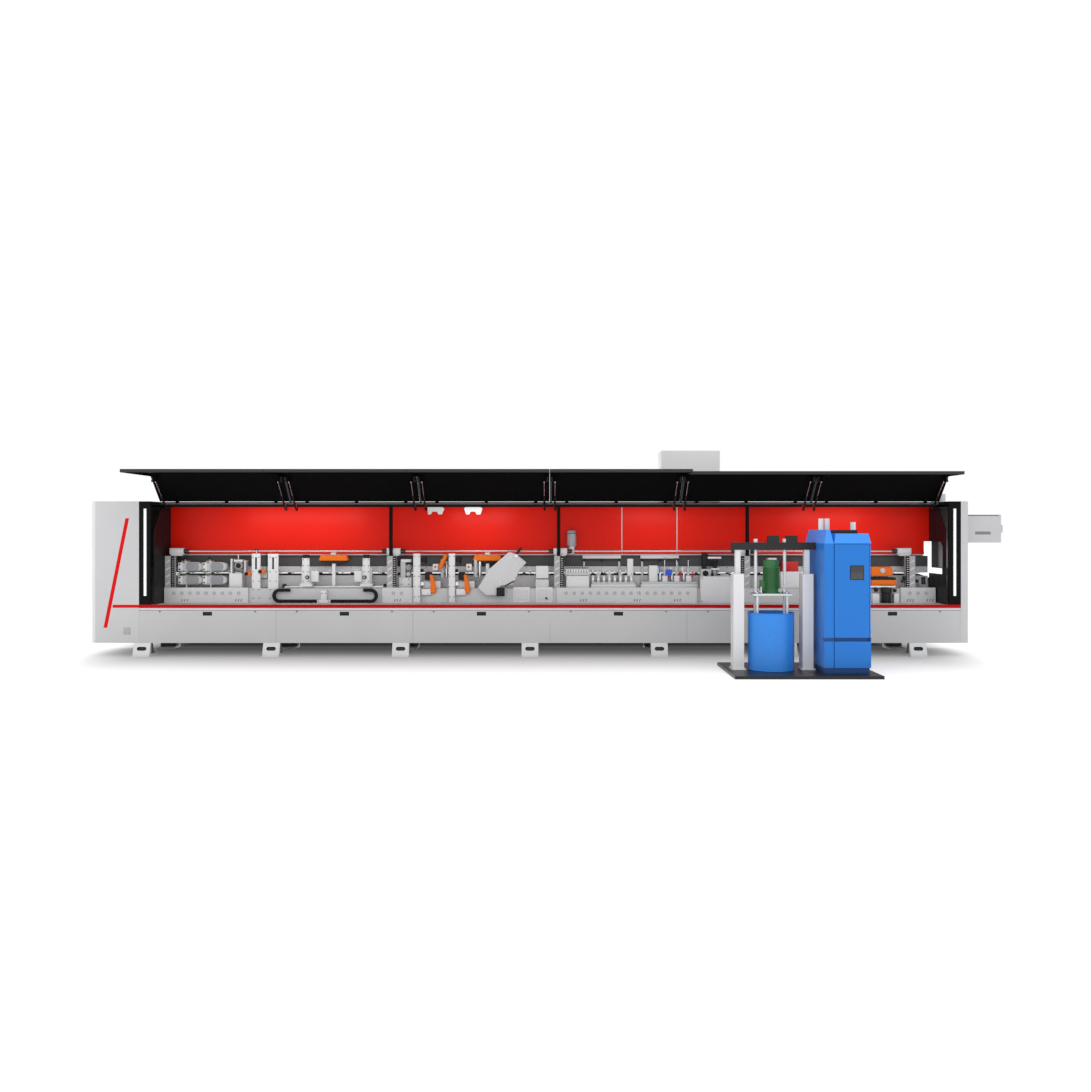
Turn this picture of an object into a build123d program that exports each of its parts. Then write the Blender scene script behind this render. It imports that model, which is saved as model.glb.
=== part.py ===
from build123d import *
import math
import os

os.makedirs("parts", exist_ok=True)

# Through-feed edge banding machine with a separate glue drum melter.
# Millimetres. X runs along the feed, +Y from the tool side to the operator's side, +Z up.
# The origin is on the floor, under the front line of the cabinet at the middle foot.

# ---------------------------------------------------------------- driving dimensions
body_left = -4993
body_right = 4993
body_depth = 925
left_tower_width = 534
right_tower_width = 80
left_frame_width = 130
right_frame_width = 137
body_top = 1767
cabinet_bottom = 152
panel_top = 522
ledge_bottom = 551
deck_top = 588
deck_thickness = 12
sheet = 3
seat = 0.3            # face clearance where one piece sits on another
running = 0.1         # radial clearance of shafts and pins

foot_pitch = 1473
foot_count = 7
foot_width = 190
foot_base = 25

cover_count = 6
cover_gap = 3
cover_sheet = 2
cover_pan = 35        # depth of the folded edge
shoulder_depth = 12
shoulder_rise = 292   # hinge line to the inner face of the open front panel
shoulder_angle = 136  # direction of the open shoulder seen from the hinge, degrees
long_cover_reach = 1168
short_cover_reach = 762
long_cover_count = 4
hinge_y = 306
hinge_z = 1759
strut_inset = 62
strut_base = (350, 1675)
strut_top = (0, 1987)
strut_tube = 11
strut_rod = 5

panel_count = 6
panel_depth = 21.7
ledge_depth = 22

fairing_y = 330
bed_front = 350
bed_back = 575
bed_top = 755
wall_left = body_left + 695
wall_right = body_right - 238
track_front = 585
track_back = 745
track_plate = 12
chain_top = 917
chain_depth = 19
chain_radius = 127
chain_left = body_left + 843
chain_right = body_right - 373
board = 8             # thinnest board, the gap between the chain pads and the rollers at rest
beam_low = 1006
beam_high = 1131
shaft_y = 420
shaft_z = 1190
shaft_radius = 11
screw_y = 440
screw_radius = 10
slot_low = 900        # the ends and the back of the housing are open here, so that boards pass
slot_high = 981
rear_panel_top = 860

# ---------------------------------------------------------------- derived places
bay_left = body_left + left_tower_width
bay_right = body_right - right_tower_width
cover_left = bay_left + left_frame_width
cover_right = bay_right - right_frame_width
cover_pitch = (cover_right - cover_left) / cover_count
panel_pitch = (bay_right - bay_left) / panel_count
foot_x = [foot_pitch * (i - (foot_count - 1) / 2) for i in range(foot_count)]
rail_front = (panel_depth + seat, 160)
rail_back = (body_depth - 160, body_depth - panel_depth - seat)
strut_x = []
for i in range(cover_count):
    strut_x.append(cover_left + cover_pitch * i + strut_inset)
    strut_x.append(cover_left + cover_pitch * (i + 1) - strut_inset)


# ---------------------------------------------------------------- shared shapes
def block(x, y, z, mode=Mode.ADD):
    """Box between the low and the high value of each axis."""
    with Locations(((x[0] + x[1]) / 2, (y[0] + y[1]) / 2, (z[0] + z[1]) / 2)):
        Box(x[1] - x[0], y[1] - y[0], z[1] - z[0], mode=mode)


def bar(start, direction, radius, length, mode=Mode.ADD):
    """Round bar from a start point along a direction."""
    with Locations(Plane(origin=start, z_dir=direction)):
        Cylinder(radius, length, align=(Align.CENTER, Align.CENTER, Align.MIN), mode=mode)


def prism(plane, outline, length, mode):
    """Straight-sided outline on a plane, pushed along the plane's normal."""
    with BuildSketch(plane) as face:
        with BuildLine():
            Polyline(*outline, close=True)
        make_face()
    extrude(to_extrude=face.sketch, amount=length, mode=mode)


def along_x(outline, x, mode=Mode.ADD):
    """Y-Z outline between two X values."""
    prism(Plane.YZ.offset(x[0]), outline, x[1] - x[0], mode)


def along_y(outline, y, mode=Mode.ADD):
    """X-Z outline between two Y values."""
    prism(Plane.XZ.offset(-y[1]), outline, y[1] - y[0], mode)


# ---------------------------------------------------------------- base
# Base: two box rails, cross members, uprights, the deck and the box beam for the units, each
# its own length of stock.
rail_wall = 8
rail_high = 300
frame_end = 90
member_half = 50
deck_under = deck_top - deck_thickness
with BuildPart() as bed_frame:
    for rail in (rail_front, rail_back):
        block((body_left + frame_end, body_right - frame_end / 2), rail, (cabinet_bottom, rail_high))
        for x in foot_x:
            block((x - member_half, x + member_half), rail, (rail_high + seat, deck_under - seat))
    for x in foot_x:
        block(
            (x - member_half, x + member_half),
            (rail_front[1] + seat, rail_back[0] - seat),
            (cabinet_bottom, rail_high),
        )
    block((bay_left, bay_right), (ledge_depth, rail_back[1]), (deck_under, deck_top))
    block((wall_left + 8, wall_right - 10), (bed_front, bed_back), (deck_top + seat, bed_top))
    for rail in (rail_front, rail_back):
        block(
            (body_left, body_right),
            (rail[0] + rail_wall, rail[1] - rail_wall),
            (cabinet_bottom + rail_wall, rail_high - rail_wall),
            mode=Mode.SUBTRACT,
        )
    block(
        (wall_left, wall_right),
        (bed_front + rail_wall, bed_back - rail_wall),
        (deck_top + seat + rail_wall, bed_top - rail_wall),
        mode=Mode.SUBTRACT,
    )
bed_frame.part.label = "bed_frame"
export_step(bed_frame.part, "parts/bed_frame.step")

# Levelling feet: a sloping front plate with a slot, a base flange and an anchor hole.
foot_toe = 48
foot_flange = 230
anchor_inset = 200
anchor_radius = 9
foot_slot = (108, 45)
foot_side = [
    (0, cabinet_bottom),
    (-foot_toe, foot_base),
    (-foot_toe, 0),
    (foot_flange, 0),
    (foot_flange, foot_base),
    (110, foot_base),
    (60, cabinet_bottom),
]
slope = math.hypot(foot_toe, cabinet_bottom - foot_base)
slope_normal = (0, -(cabinet_bottom - foot_base) / slope, foot_toe / slope)
with BuildPart() as machine_feet:
    for x in foot_x:
        along_x(foot_side, (x - foot_width / 2, x + foot_width / 2))
        middle = (x, -foot_toe / 2, (cabinet_bottom + foot_base) / 2)
        with BuildSketch(Plane(origin=middle, x_dir=(1, 0, 0), z_dir=slope_normal)) as slot:
            SlotOverall(foot_slot[0], foot_slot[1])
        extrude(to_extrude=slot.sketch, amount=-22, mode=Mode.SUBTRACT)
        bar((x, anchor_inset, -1), (0, 0, 1), anchor_radius, foot_base + 2, mode=Mode.SUBTRACT)
    mirror(about=Plane.XZ.offset(-body_depth / 2))
machine_feet.part.label = "machine_feet"
export_step(machine_feet.part, "parts/machine_feet.step")

# Lift-off panels of the lower cabinet, folded pans, front and back, with the pull cups and
# quarter-turn locks of the front ones and the cover sheet behind the feed track.
handle_size = (105, 43)
handle_z = 485.5
cup_depth = 15
lock_offset = 543
lock_z = 510
lock_radius = 9
with BuildPart() as lower_panels:
    for i in range(panel_count):
        left = bay_left + panel_pitch * i + 1
        right = left + panel_pitch - 2
        middle = (left + right) / 2
        block((left, right), (0, panel_depth), (cabinet_bottom, panel_top))
        block(
            (left + sheet, right - sheet),
            (sheet, panel_depth + 1),
            (cabinet_bottom + sheet, panel_top - sheet),
            mode=Mode.SUBTRACT,
        )
        block(
            (middle - handle_size[0] / 2 - seat, middle + handle_size[0] / 2 + seat),
            (-1, panel_depth),
            (handle_z - handle_size[1] / 2 - seat, handle_z + handle_size[1] / 2 + seat),
            mode=Mode.SUBTRACT,
        )
        block((left, right), (body_depth - panel_depth, body_depth), (cabinet_bottom, rear_panel_top))
        block(
            (left + sheet, right - sheet),
            (body_depth - panel_depth - 1, body_depth - sheet),
            (cabinet_bottom + sheet, rear_panel_top - sheet),
            mode=Mode.SUBTRACT,
        )
        half = handle_size[0] / 2
        low = handle_z - handle_size[1] / 2
        high = handle_z + handle_size[1] / 2
        block((middle - half, middle + half), (0, cup_depth), (low, high))
        block(
            (middle - half + 3, middle + half - 3),
            (-1, cup_depth - 3),
            (low + 3, high - 3),
            mode=Mode.SUBTRACT,
        )
        for side in (-1, 1):
            bar((middle + side * lock_offset, -4, lock_z), (0, 1, 0), lock_radius, 4)
    block(
        (bay_left, bay_right),
        (track_back + seat, body_depth),
        (rear_panel_top + seat, rear_panel_top + seat + sheet),
    )
lower_panels.part.label = "lower_panels"
export_step(lower_panels.part, "parts/lower_panels.step")

# Trim ledge along the deck's front edge, with the light bar below it.
with BuildPart() as trim_ledge:
    block((bay_left, bay_right), (0, ledge_depth), (ledge_bottom, deck_top))
    block((bay_left, bay_right), (5, 20), (panel_top + 4, ledge_bottom - seat))
trim_ledge.part.label = "trim_ledge"
export_step(trim_ledge.part, "parts/trim_ledge.step")

# ---------------------------------------------------------------- housing
# End towers, sheet shells with a slot where boards leave and enter, and the inner side walls.
tower_wall = 4
tower_outline = [
    (0, cabinet_bottom),
    (body_depth, cabinet_bottom),
    (body_depth, slot_low),
    (bed_back, slot_low),
    (bed_back, slot_high),
    (body_depth, slot_high),
    (body_depth, body_top),
    (0, body_top),
]
tower_inside = [
    (tower_wall, cabinet_bottom - 1),
    (body_depth - tower_wall, cabinet_bottom - 1),
    (body_depth - tower_wall, slot_low - tower_wall),
    (bed_back - tower_wall, slot_low - tower_wall),
    (bed_back - tower_wall, slot_high + tower_wall),
    (body_depth - tower_wall, slot_high + tower_wall),
    (body_depth - tower_wall, body_top - tower_wall),
    (tower_wall, body_top - tower_wall),
]
wall_outline = [(36, deck_top), (bed_back, deck_top), (bed_back, 1700), (270, 1700), (36, 1450)]
infeed_top = 1305
infeed_window = [(138, 930), (600, 930), (600, infeed_top), (198, infeed_top), (138, 1245)]
console_pin = (body_right + 52, 335)
console_pin_radius = 12
console_low = 1293
console_high = 1621
arm_low = 1390
arm_high = 1520
arm_thickness = 20
with BuildPart() as end_towers:
    along_x(tower_outline, (body_left, bay_left))
    along_x(tower_inside, (body_left + tower_wall, bay_left + 1), mode=Mode.SUBTRACT)
    along_x(tower_outline, (bay_right, body_right))
    along_x(tower_inside, (bay_right - 1, body_right - tower_wall), mode=Mode.SUBTRACT)
    along_x(wall_outline, (wall_left - tower_wall, wall_left))
    along_x(wall_outline, (wall_right, wall_right + tower_wall))
    along_x(infeed_window, (wall_right - 1, wall_right + tower_wall + 1), mode=Mode.SUBTRACT)
    for z in (arm_low, arm_high - arm_thickness):
        block(
            (body_right, console_pin[0] + 22),
            (console_pin[1] - 20, console_pin[1] + 20),
            (z, z + arm_thickness),
        )
    bar((console_pin[0], console_pin[1], arm_low), (0, 0, 1), console_pin_radius, arm_high - arm_low)
end_towers.part.label = "end_towers"
export_step(end_towers.part, "parts/end_towers.step")

# Back panel of the tool bay in three sheets, its lower edge folded forward.
panel_seams = (1087, 1745)
seam_gap = 4
fold_high = 1227
fold_low = 1149
corner_cut = (4693, infeed_top)
back_outline = [
    (bed_back - 5, body_top - 3 - seat),
    (bed_back - 2, body_top - 3 - seat),
    (bed_back - 2, fold_high),
    (bed_back - 12, fold_low),
    (bed_back - 15, fold_low),
    (bed_back - 5, fold_high),
]
with BuildPart() as back_panel:
    along_x(back_outline, (wall_left + seat, wall_right - seat))
    for x in panel_seams:
        block((x - seam_gap / 2, x + seam_gap / 2), (500, 600), (1100, 1800), mode=Mode.SUBTRACT)
    block((corner_cut[0], wall_right + 1), (500, 600), (1100, corner_cut[1]), mode=Mode.SUBTRACT)
back_panel.part.label = "back_panel"
export_step(back_panel.part, "parts/back_panel.step")

# Black frame round the opening: end frames, top arms, hinge rail and three uprights.
frame_depth = 35
rail_low = 1709
rail_y = (318, 345)
hinge_pin = 6
hinge_barrel = 11
hinge_span = 40
upright_x = (-1640, 330, 2545)
upright_y = (352, 380)
post_top = 1135
hinge_places = (0.12, 0.5, 0.88)
with BuildPart() as hood_frame:
    for x in ((bay_left, cover_left), (cover_right, bay_right)):
        block(x, (0, frame_depth), (deck_top, body_top))
        block(x, (frame_depth, rail_y[1]), (1727, body_top))
    block((bay_left, bay_right), rail_y, (rail_low, body_top))
    for x in upright_x:
        block((x - 20, x + 20), upright_y, (post_top + seat, body_top - 3 - seat))
        block((x - 20, x + 20), (rail_y[1], upright_y[0]), (rail_low, body_top - 3 - seat))
    for x in strut_x:
        block((x - 14, x + 14), (rail_y[0] - 1, rail_y[1] + 1), (rail_low - 1, 1738), mode=Mode.SUBTRACT)
        block((x + 11.5, x + 17.5), (338, 362), (strut_base[1] - 12, 1745))
        bar((x - 6, strut_base[0], strut_base[1]), (1, 0, 0), strut_rod, 18)
    for i in range(cover_count):
        for place in hinge_places:
            x = cover_left + cover_pitch * (i + place)
            block((x - 30, x), (hinge_y - 10, rail_y[0]), (hinge_z - 9, body_top))
            bar((x, hinge_y, hinge_z), (1, 0, 0), hinge_pin, hinge_span)
hood_frame.part.label = "hood_frame"
export_step(hood_frame.part, "parts/hood_frame.step")

# Roof and back of the hood, with the two extraction spigots on their plate.
spigot_x = (body_right - 161, body_right - 73)
spigot_y = 600
spigot_radius = 42
spigot_high = 1871
spigot_plate = 6
roof_outline = [
    (rail_y[1], body_top - sheet),
    (rail_y[1], body_top),
    (body_depth, body_top),
    (body_depth, slot_high),
    (body_depth - sheet, slot_high),
    (body_depth - sheet, body_top - sheet),
]
with BuildPart() as roof_shell:
    along_x(roof_outline, (bay_left, bay_right))
    block(
        (4800, bay_right + 1),
        (body_depth - 10, body_depth + 1),
        (slot_high - 1, infeed_top),
        mode=Mode.SUBTRACT,
    )
    block(
        (cover_right, spigot_x[1] + 60),
        (spigot_y - 60, spigot_y + 60),
        (body_top + seat, body_top + seat + spigot_plate),
    )
    for x in spigot_x:
        bar((x, spigot_y, body_top + seat), (0, 0, 1), spigot_radius, spigot_high - body_top - seat)
    for x in spigot_x:
        bar((x, spigot_y, body_top), (0, 0, 1), spigot_radius - sheet, spigot_high, mode=Mode.SUBTRACT)
roof_shell.part.label = "roof_shell"
export_step(roof_shell.part, "parts/roof_shell.step")

# Electrical cabinet on the roof, open to the operator's side, and its door on a full-height pin.
cabinet_x = (1560, 2262)
cabinet_y = (600, 905)
cabinet_z = (body_top + seat, 2390)
door_depth = 20
door_pin = 5
door_barrel = 8
door_barrel_length = 40
door_lug = 12
door_axis = (cabinet_x[1] - door_barrel, cabinet_y[1] + door_depth / 2)
with BuildPart() as electrical_cabinet:
    block(cabinet_x, cabinet_y, cabinet_z)
    block(
        (cabinet_x[0] + sheet, cabinet_x[1] - sheet),
        (cabinet_y[0] + sheet, cabinet_y[1] + 1),
        (cabinet_z[0] + sheet, cabinet_z[1] - sheet),
        mode=Mode.SUBTRACT,
    )
    block((cabinet_x[0] + 40, cabinet_x[1] - 40), (cabinet_y[0] + sheet, cabinet_y[0] + 30), (1830, 2330))
    for z in (cabinet_z[0], cabinet_z[1] - door_lug):
        block(
            (cabinet_x[1] - 2 * door_barrel, cabinet_x[1]),
            (cabinet_y[1] - 6, door_axis[1]),
            (z, z + door_lug),
        )
        bar((door_axis[0], door_axis[1], z), (0, 0, 1), door_barrel, door_lug)
    bar((door_axis[0], door_axis[1], cabinet_z[0]), (0, 0, 1), door_pin, cabinet_z[1] - cabinet_z[0])
electrical_cabinet.part.label = "electrical_cabinet"
export_step(electrical_cabinet.part, "parts/electrical_cabinet.step")

cabinet_door_x = (cabinet_x[0], cabinet_x[1] - 2 * door_barrel - 1)
cabinet_door_y = (cabinet_y[1] + seat, cabinet_y[1] + door_depth)
with BuildPart() as cabinet_door:
    block(cabinet_door_x, cabinet_door_y, cabinet_z)
    block(
        (cabinet_door_x[0] + sheet, cabinet_door_x[1] - sheet),
        (cabinet_door_y[0] - 1, cabinet_door_y[1] - sheet),
        (cabinet_z[0] + sheet, cabinet_z[1] - sheet),
        mode=Mode.SUBTRACT,
    )
    for z in (1850, 2060, 2270):
        bar((door_axis[0], door_axis[1], z), (0, 0, 1), door_barrel, door_barrel_length)
        block(
            (cabinet_door_x[1] - 2, door_axis[0]),
            (door_axis[1] - 4, door_axis[1] + 4),
            (z, z + door_barrel_length),
        )
        bar(
            (door_axis[0], door_axis[1], z - 1),
            (0, 0, 1),
            door_pin + running,
            door_barrel_length + 2,
            mode=Mode.SUBTRACT,
        )
    bar((cabinet_door_x[0] + 40, cabinet_door_y[1] - sheet, 2080), (0, 1, 0), 14, 12)
cabinet_door.part.label = "cabinet_door"
export_step(cabinet_door.part, "parts/cabinet_door.step")

# ---------------------------------------------------------------- covers and gas struts
turn = math.radians(shoulder_angle)
along = (math.cos(turn), math.sin(turn))
outward = (math.sin(turn), -math.cos(turn))


def from_hinge(run, out):
    """Point in Y-Z, a run along the open shoulder and a distance out of its inner face."""
    return (
        hinge_y + run * along[0] + out * outward[0],
        hinge_z + run * along[1] + out * outward[1],
    )


def shoulder_at(out, z):
    """Point of a line parallel to the shoulder at a given height."""
    run = (z - hinge_z - out * outward[1]) / along[1]
    return (from_hinge(run, out)[0], z)


inner_z = hinge_z + shoulder_rise
outer_z = inner_z + cover_pan
shoulder_start = 18
strut_run = (strut_top[0] - strut_base[0], strut_top[1] - strut_base[1])
strut_length = math.hypot(*strut_run)
strut_way = (0, strut_run[0] / strut_length, strut_run[1] / strut_length)


def strut_point(x, run):
    """Point on a strut's axis, a run away from its lower pivot."""
    return (x, strut_base[0] + run * strut_way[1], strut_base[1] + run * strut_way[2])


strut_tube_end = 235
strut_bore_start = 26
strut_rod_start = 145
for i in range(cover_count):
    left = cover_left + cover_pitch * i + cover_gap / 2
    right = cover_left + cover_pitch * (i + 1) - cover_gap / 2
    reach = long_cover_reach if i < long_cover_count else short_cover_reach
    edge_y = hinge_y - reach
    shell = [
        (edge_y, outer_z),
        shoulder_at(shoulder_depth, outer_z),
        from_hinge(shoulder_start, shoulder_depth),
        from_hinge(shoulder_start, 0),
        shoulder_at(0, inner_z),
        (edge_y, inner_z),
    ]
    hollow = [
        (edge_y + cover_sheet, outer_z - cover_sheet),
        shoulder_at(shoulder_depth - cover_sheet, outer_z - cover_sheet),
        from_hinge(shoulder_start + cover_sheet, shoulder_depth - cover_sheet),
        from_hinge(shoulder_start + cover_sheet, -1),
        shoulder_at(-1, inner_z - 1),
        (edge_y + cover_sheet, inner_z - 1),
    ]
    web = [from_hinge(8, 0), from_hinge(22, 0), from_hinge(22, 10), from_hinge(8, 10)]
    with BuildPart() as cover:
        along_x(shell, (left, right))
        along_x(hollow, (left + cover_sheet, right - cover_sheet), mode=Mode.SUBTRACT)
        for x in strut_x[2 * i:2 * i + 2]:
            block((x + 6.3, x + 12.3), (-14, 14), (strut_top[1] - 12, outer_z - 1))
        for place in hinge_places:
            x = cover_left + cover_pitch * (i + place) + 0.5
            bar((x, hinge_y, hinge_z), (1, 0, 0), hinge_barrel, hinge_span - 1)
            along_x(web, (x, x + hinge_span - 1))
            bar((x - 1, hinge_y, hinge_z), (1, 0, 0), hinge_pin + running, hinge_span + 2, mode=Mode.SUBTRACT)
    cover.part.label = f"cover_{i + 1}"
    export_step(cover.part, f"parts/cover_{i + 1}.step")

    with BuildPart() as strut_tubes:
        for x in strut_x[2 * i:2 * i + 2]:
            bar((x - 6, strut_base[0], strut_base[1]), (1, 0, 0), strut_tube, 12)
            bar(strut_point(x, 9), strut_way, strut_tube, strut_tube_end - 9)
            bar(
                strut_point(x, strut_bore_start),
                strut_way,
                strut_rod + seat,
                strut_tube_end - strut_bore_start + 1,
                mode=Mode.SUBTRACT,
            )
            bar(
                (x - 12, strut_base[0], strut_base[1]),
                (1, 0, 0),
                strut_rod + running,
                24,
                mode=Mode.SUBTRACT,
            )
    strut_tubes.part.label = f"strut_tubes_{i + 1}"
    export_step(strut_tubes.part, f"parts/strut_tubes_{i + 1}.step")

    with BuildPart() as strut_rods:
        for x in strut_x[2 * i:2 * i + 2]:
            bar(strut_point(x, strut_rod_start), strut_way, strut_rod, strut_length - strut_rod_start)
            bar((x - 6, strut_top[0], strut_top[1]), (1, 0, 0), 9, 12)
    strut_rods.part.label = f"strut_rods_{i + 1}"
    export_step(strut_rods.part, f"parts/strut_rods_{i + 1}.step")

# ---------------------------------------------------------------- feed track
chain_z = chain_top - chain_radius
chain_inner = chain_radius - chain_depth
sprocket_shaft = 20
gearmotor_y = (track_back, 870)
gearmotor_half = 64
with BuildPart() as conveyor_beam:
    track = (wall_left + 5, wall_right - 10)
    block(track, (track_front, track_back), (deck_top, chain_top - chain_depth - 3))
    block(
        (track[0] - 1, track[1] + 1),
        (track_front + track_plate, track_back - track_plate),
        (deck_top + track_plate, chain_top),
        mode=Mode.SUBTRACT,
    )
    guide_x = (chain_left + 140, chain_right - 140)
    for y in ((track_front + track_plate, 636), (694, track_back - track_plate)):
        block(guide_x, y, (chain_top - chain_depth - 18, chain_top - chain_depth))
    block(
        (chain_left - 70, chain_left + 70),
        gearmotor_y,
        (chain_z - gearmotor_half, chain_z + gearmotor_half),
    )
    bar((chain_left + 70, 808, chain_z), (1, 0, 0), 58, 230)
    for x in (chain_left, chain_right):
        bar((x, track_front - 1, chain_z), (0, 1, 0), sprocket_shaft + running, 210, mode=Mode.SUBTRACT)
conveyor_beam.part.label = "conveyor_beam"
export_step(conveyor_beam.part, "parts/conveyor_beam.step")

# Feed chain: one closed loop of pads round the two sprockets.
chain_y = (605, 725)
loop_length = chain_right - chain_left
with BuildPart() as feed_chain:
    with BuildSketch(Plane.XZ.offset(-chain_y[1])) as loop:
        with Locations(((chain_left + chain_right) / 2, chain_z)):
            SlotCenterToCenter(loop_length, 2 * chain_radius)
            SlotCenterToCenter(loop_length, 2 * chain_inner, mode=Mode.SUBTRACT)
    extrude(amount=chain_y[1] - chain_y[0])
feed_chain.part.label = "feed_chain"
export_step(feed_chain.part, "parts/feed_chain.step")

sprocket_names = ("drive_sprocket", "idler_sprocket")
for name, x in zip(sprocket_names, (chain_left, chain_right)):
    with BuildPart() as sprocket:
        bar((x, 640, chain_z), (0, 1, 0), chain_inner - seat, 50)
        bar((x, track_front - 8, chain_z), (0, 1, 0), sprocket_shaft, 212)
    sprocket.part.label = name
    export_step(sprocket.part, f"parts/{name}.step")

# ---------------------------------------------------------------- pressure beam and its lift
post_x = (-4256, -1651, 312, 2542, 4480)
screw_side = (1, 1, 1, -1, -1)
post_half = 35
post_y = (352, 412)
screw_offset = 57
screw_x = [x + side * screw_offset for x, side in zip(post_x, screw_side)]
box_x = (-4168, -1613, 350, 2504, 4400)
box_half = 80
box_low = 1155
box_high = 1226
with BuildPart() as lift_posts:
    for x, xs, xb in zip(post_x, screw_x, box_x):
        block((x - post_half, x + post_half), post_y, (bed_top, post_top))
        block((xs - 21, xs + 21), (post_y[0], 400), (bed_top, post_top))
        block((xb - 64, xb + 64), (post_y[0] + 30, 455), (post_top, box_low))
        block((xb - box_half, xb + box_half), (385, 455), (box_low, box_high))
        bar((xs, screw_y, bed_top), (0, 0, 1), screw_radius, box_low - bed_top)
        bar((xb - 100, shaft_y, shaft_z), (1, 0, 0), shaft_radius + running, 200, mode=Mode.SUBTRACT)
lift_posts.part.label = "lift_posts"
export_step(lift_posts.part, "parts/lift_posts.step")

beam_x = (wall_left + 8, wall_right - 10)
beam_wall = 6
beam_y = (track_front, 745)
skirt_low = 932
carrier_low = 957
hanger_z = (1025, 1080)
roller_radius = 32
roller_z = chain_top + board + roller_radius
roller_pitch = 150
roller_count = 60
roller_start = -4210
with BuildPart() as pressure_beam:
    block(beam_x, beam_y, (beam_low, beam_high))
    block(
        (beam_x[0] - 1, beam_x[1] + 1),
        (beam_y[0] + beam_wall, beam_y[1] - beam_wall),
        (beam_low + beam_wall, beam_high - beam_wall),
        mode=Mode.SUBTRACT,
    )
    block(beam_x, (588, 594), (skirt_low, beam_low))
    for y in (606, 726):
        block(beam_x, (y, y + 8), (carrier_low, beam_low))
    for x in screw_x:
        block((x - 26, x + 26), (415, track_front), hanger_z)
        bar((x, screw_y, hanger_z[0] - 1), (0, 0, 1), screw_radius + 0.6, 60, mode=Mode.SUBTRACT)
    for i in range(roller_count):
        x = roller_start + roller_pitch * i
        bar((x, 620, roller_z), (0, 1, 0), roller_radius, 100)
        bar((x, 610, roller_z), (0, 1, 0), 8, 118)
pressure_beam.part.label = "pressure_beam"
export_step(pressure_beam.part, "parts/pressure_beam.step")

coupling_radius = 24
coupling_length = 55
with BuildPart() as sync_shaft:
    shaft_start = box_x[0] - box_half + 5
    shaft_end = box_x[4] + box_half - 5
    bar((shaft_start, shaft_y, shaft_z), (1, 0, 0), shaft_radius, shaft_end - shaft_start)
    for i, x in enumerate(box_x):
        if i < len(box_x) - 1:
            bar((x + box_half + 3, shaft_y, shaft_z), (1, 0, 0), coupling_radius, coupling_length)
        if i > 0:
            start = x - box_half - 3 - coupling_length
            bar((start, shaft_y, shaft_z), (1, 0, 0), coupling_radius, coupling_length)
sync_shaft.part.label = "sync_shaft"
export_step(sync_shaft.part, "parts/sync_shaft.step")

# ---------------------------------------------------------------- fairings and unit bodies
# Folded sheet fairings in front of the unit bed, with a row of embossed dimples.
fairing_x = ((-4292, -3308), (-1739, -1380), (308, 1950), (4335, 4745))
fairing_top = 765
dimple_pitch = 95
with BuildPart() as front_fairings:
    for x in fairing_x:
        block(x, (fairing_y, fairing_y + sheet), (deck_top + seat, fairing_top))
        block(x, (fairing_y + sheet, bed_front + 1), (fairing_top - sheet, fairing_top))
        block(x, (fairing_y + sheet, bed_front - seat), (deck_top + seat, deck_top + seat + sheet))
        count = int((x[1] - x[0] - 80) / dimple_pitch)
        for i in range(count):
            middle = (x[0] + x[1]) / 2 + dimple_pitch * (i - (count - 1) / 2)
            bar((middle, fairing_y - 4, 700), (0, 1, 0), 22, 4)
front_fairings.part.label = "front_fairings"
export_step(front_fairings.part, "parts/front_fairings.step")

# Buffing unit: two stands, each with an upper and a lower motor lying along the feed.
buff_x = (-4063, -3775)
buff_z = (1005, 849)
buff_y = 505
buff_motor = (56, 142)
buff_stand_top = 1075
buff_shaft = 12
wheel_radius = 70
wheel_width = 40
with BuildPart() as buffing_unit:
    for x in buff_x:
        block((x - 12, x), (430, 565), (bed_top + seat, buff_stand_top))
        bar((x - 22, 445, buff_stand_top - 10), (0, 0, 1), 5, 35)
        with Locations((x - 22, 445, buff_stand_top + 30)):
            Sphere(15)
        block((x - 34, x), (430, 460), (buff_stand_top - 20, buff_stand_top))
        for z in buff_z:
            bar((x, buff_y, z), (1, 0, 0), buff_motor[0], buff_motor[1])
            block((x - 98, x), (424, 430.5), (z - 50, z + 50))
            bar((x - 20, buff_y, z), (1, 0, 0), buff_shaft + running, 80, mode=Mode.SUBTRACT)
buffing_unit.part.label = "buffing_unit"
export_step(buffing_unit.part, "parts/buffing_unit.step")

for name, z in zip(("upper_buffing_wheels", "lower_buffing_wheels"), buff_z):
    with BuildPart() as buffing_wheels:
        for x in buff_x:
            bar((x - 77, buff_y, z), (1, 0, 0), wheel_radius, wheel_width)
            bar((x - 77, buff_y, z), (1, 0, 0), buff_shaft, 130)
    buffing_wheels.part.label = name
    export_step(buffing_wheels.part, f"parts/{name}.step")

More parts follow.
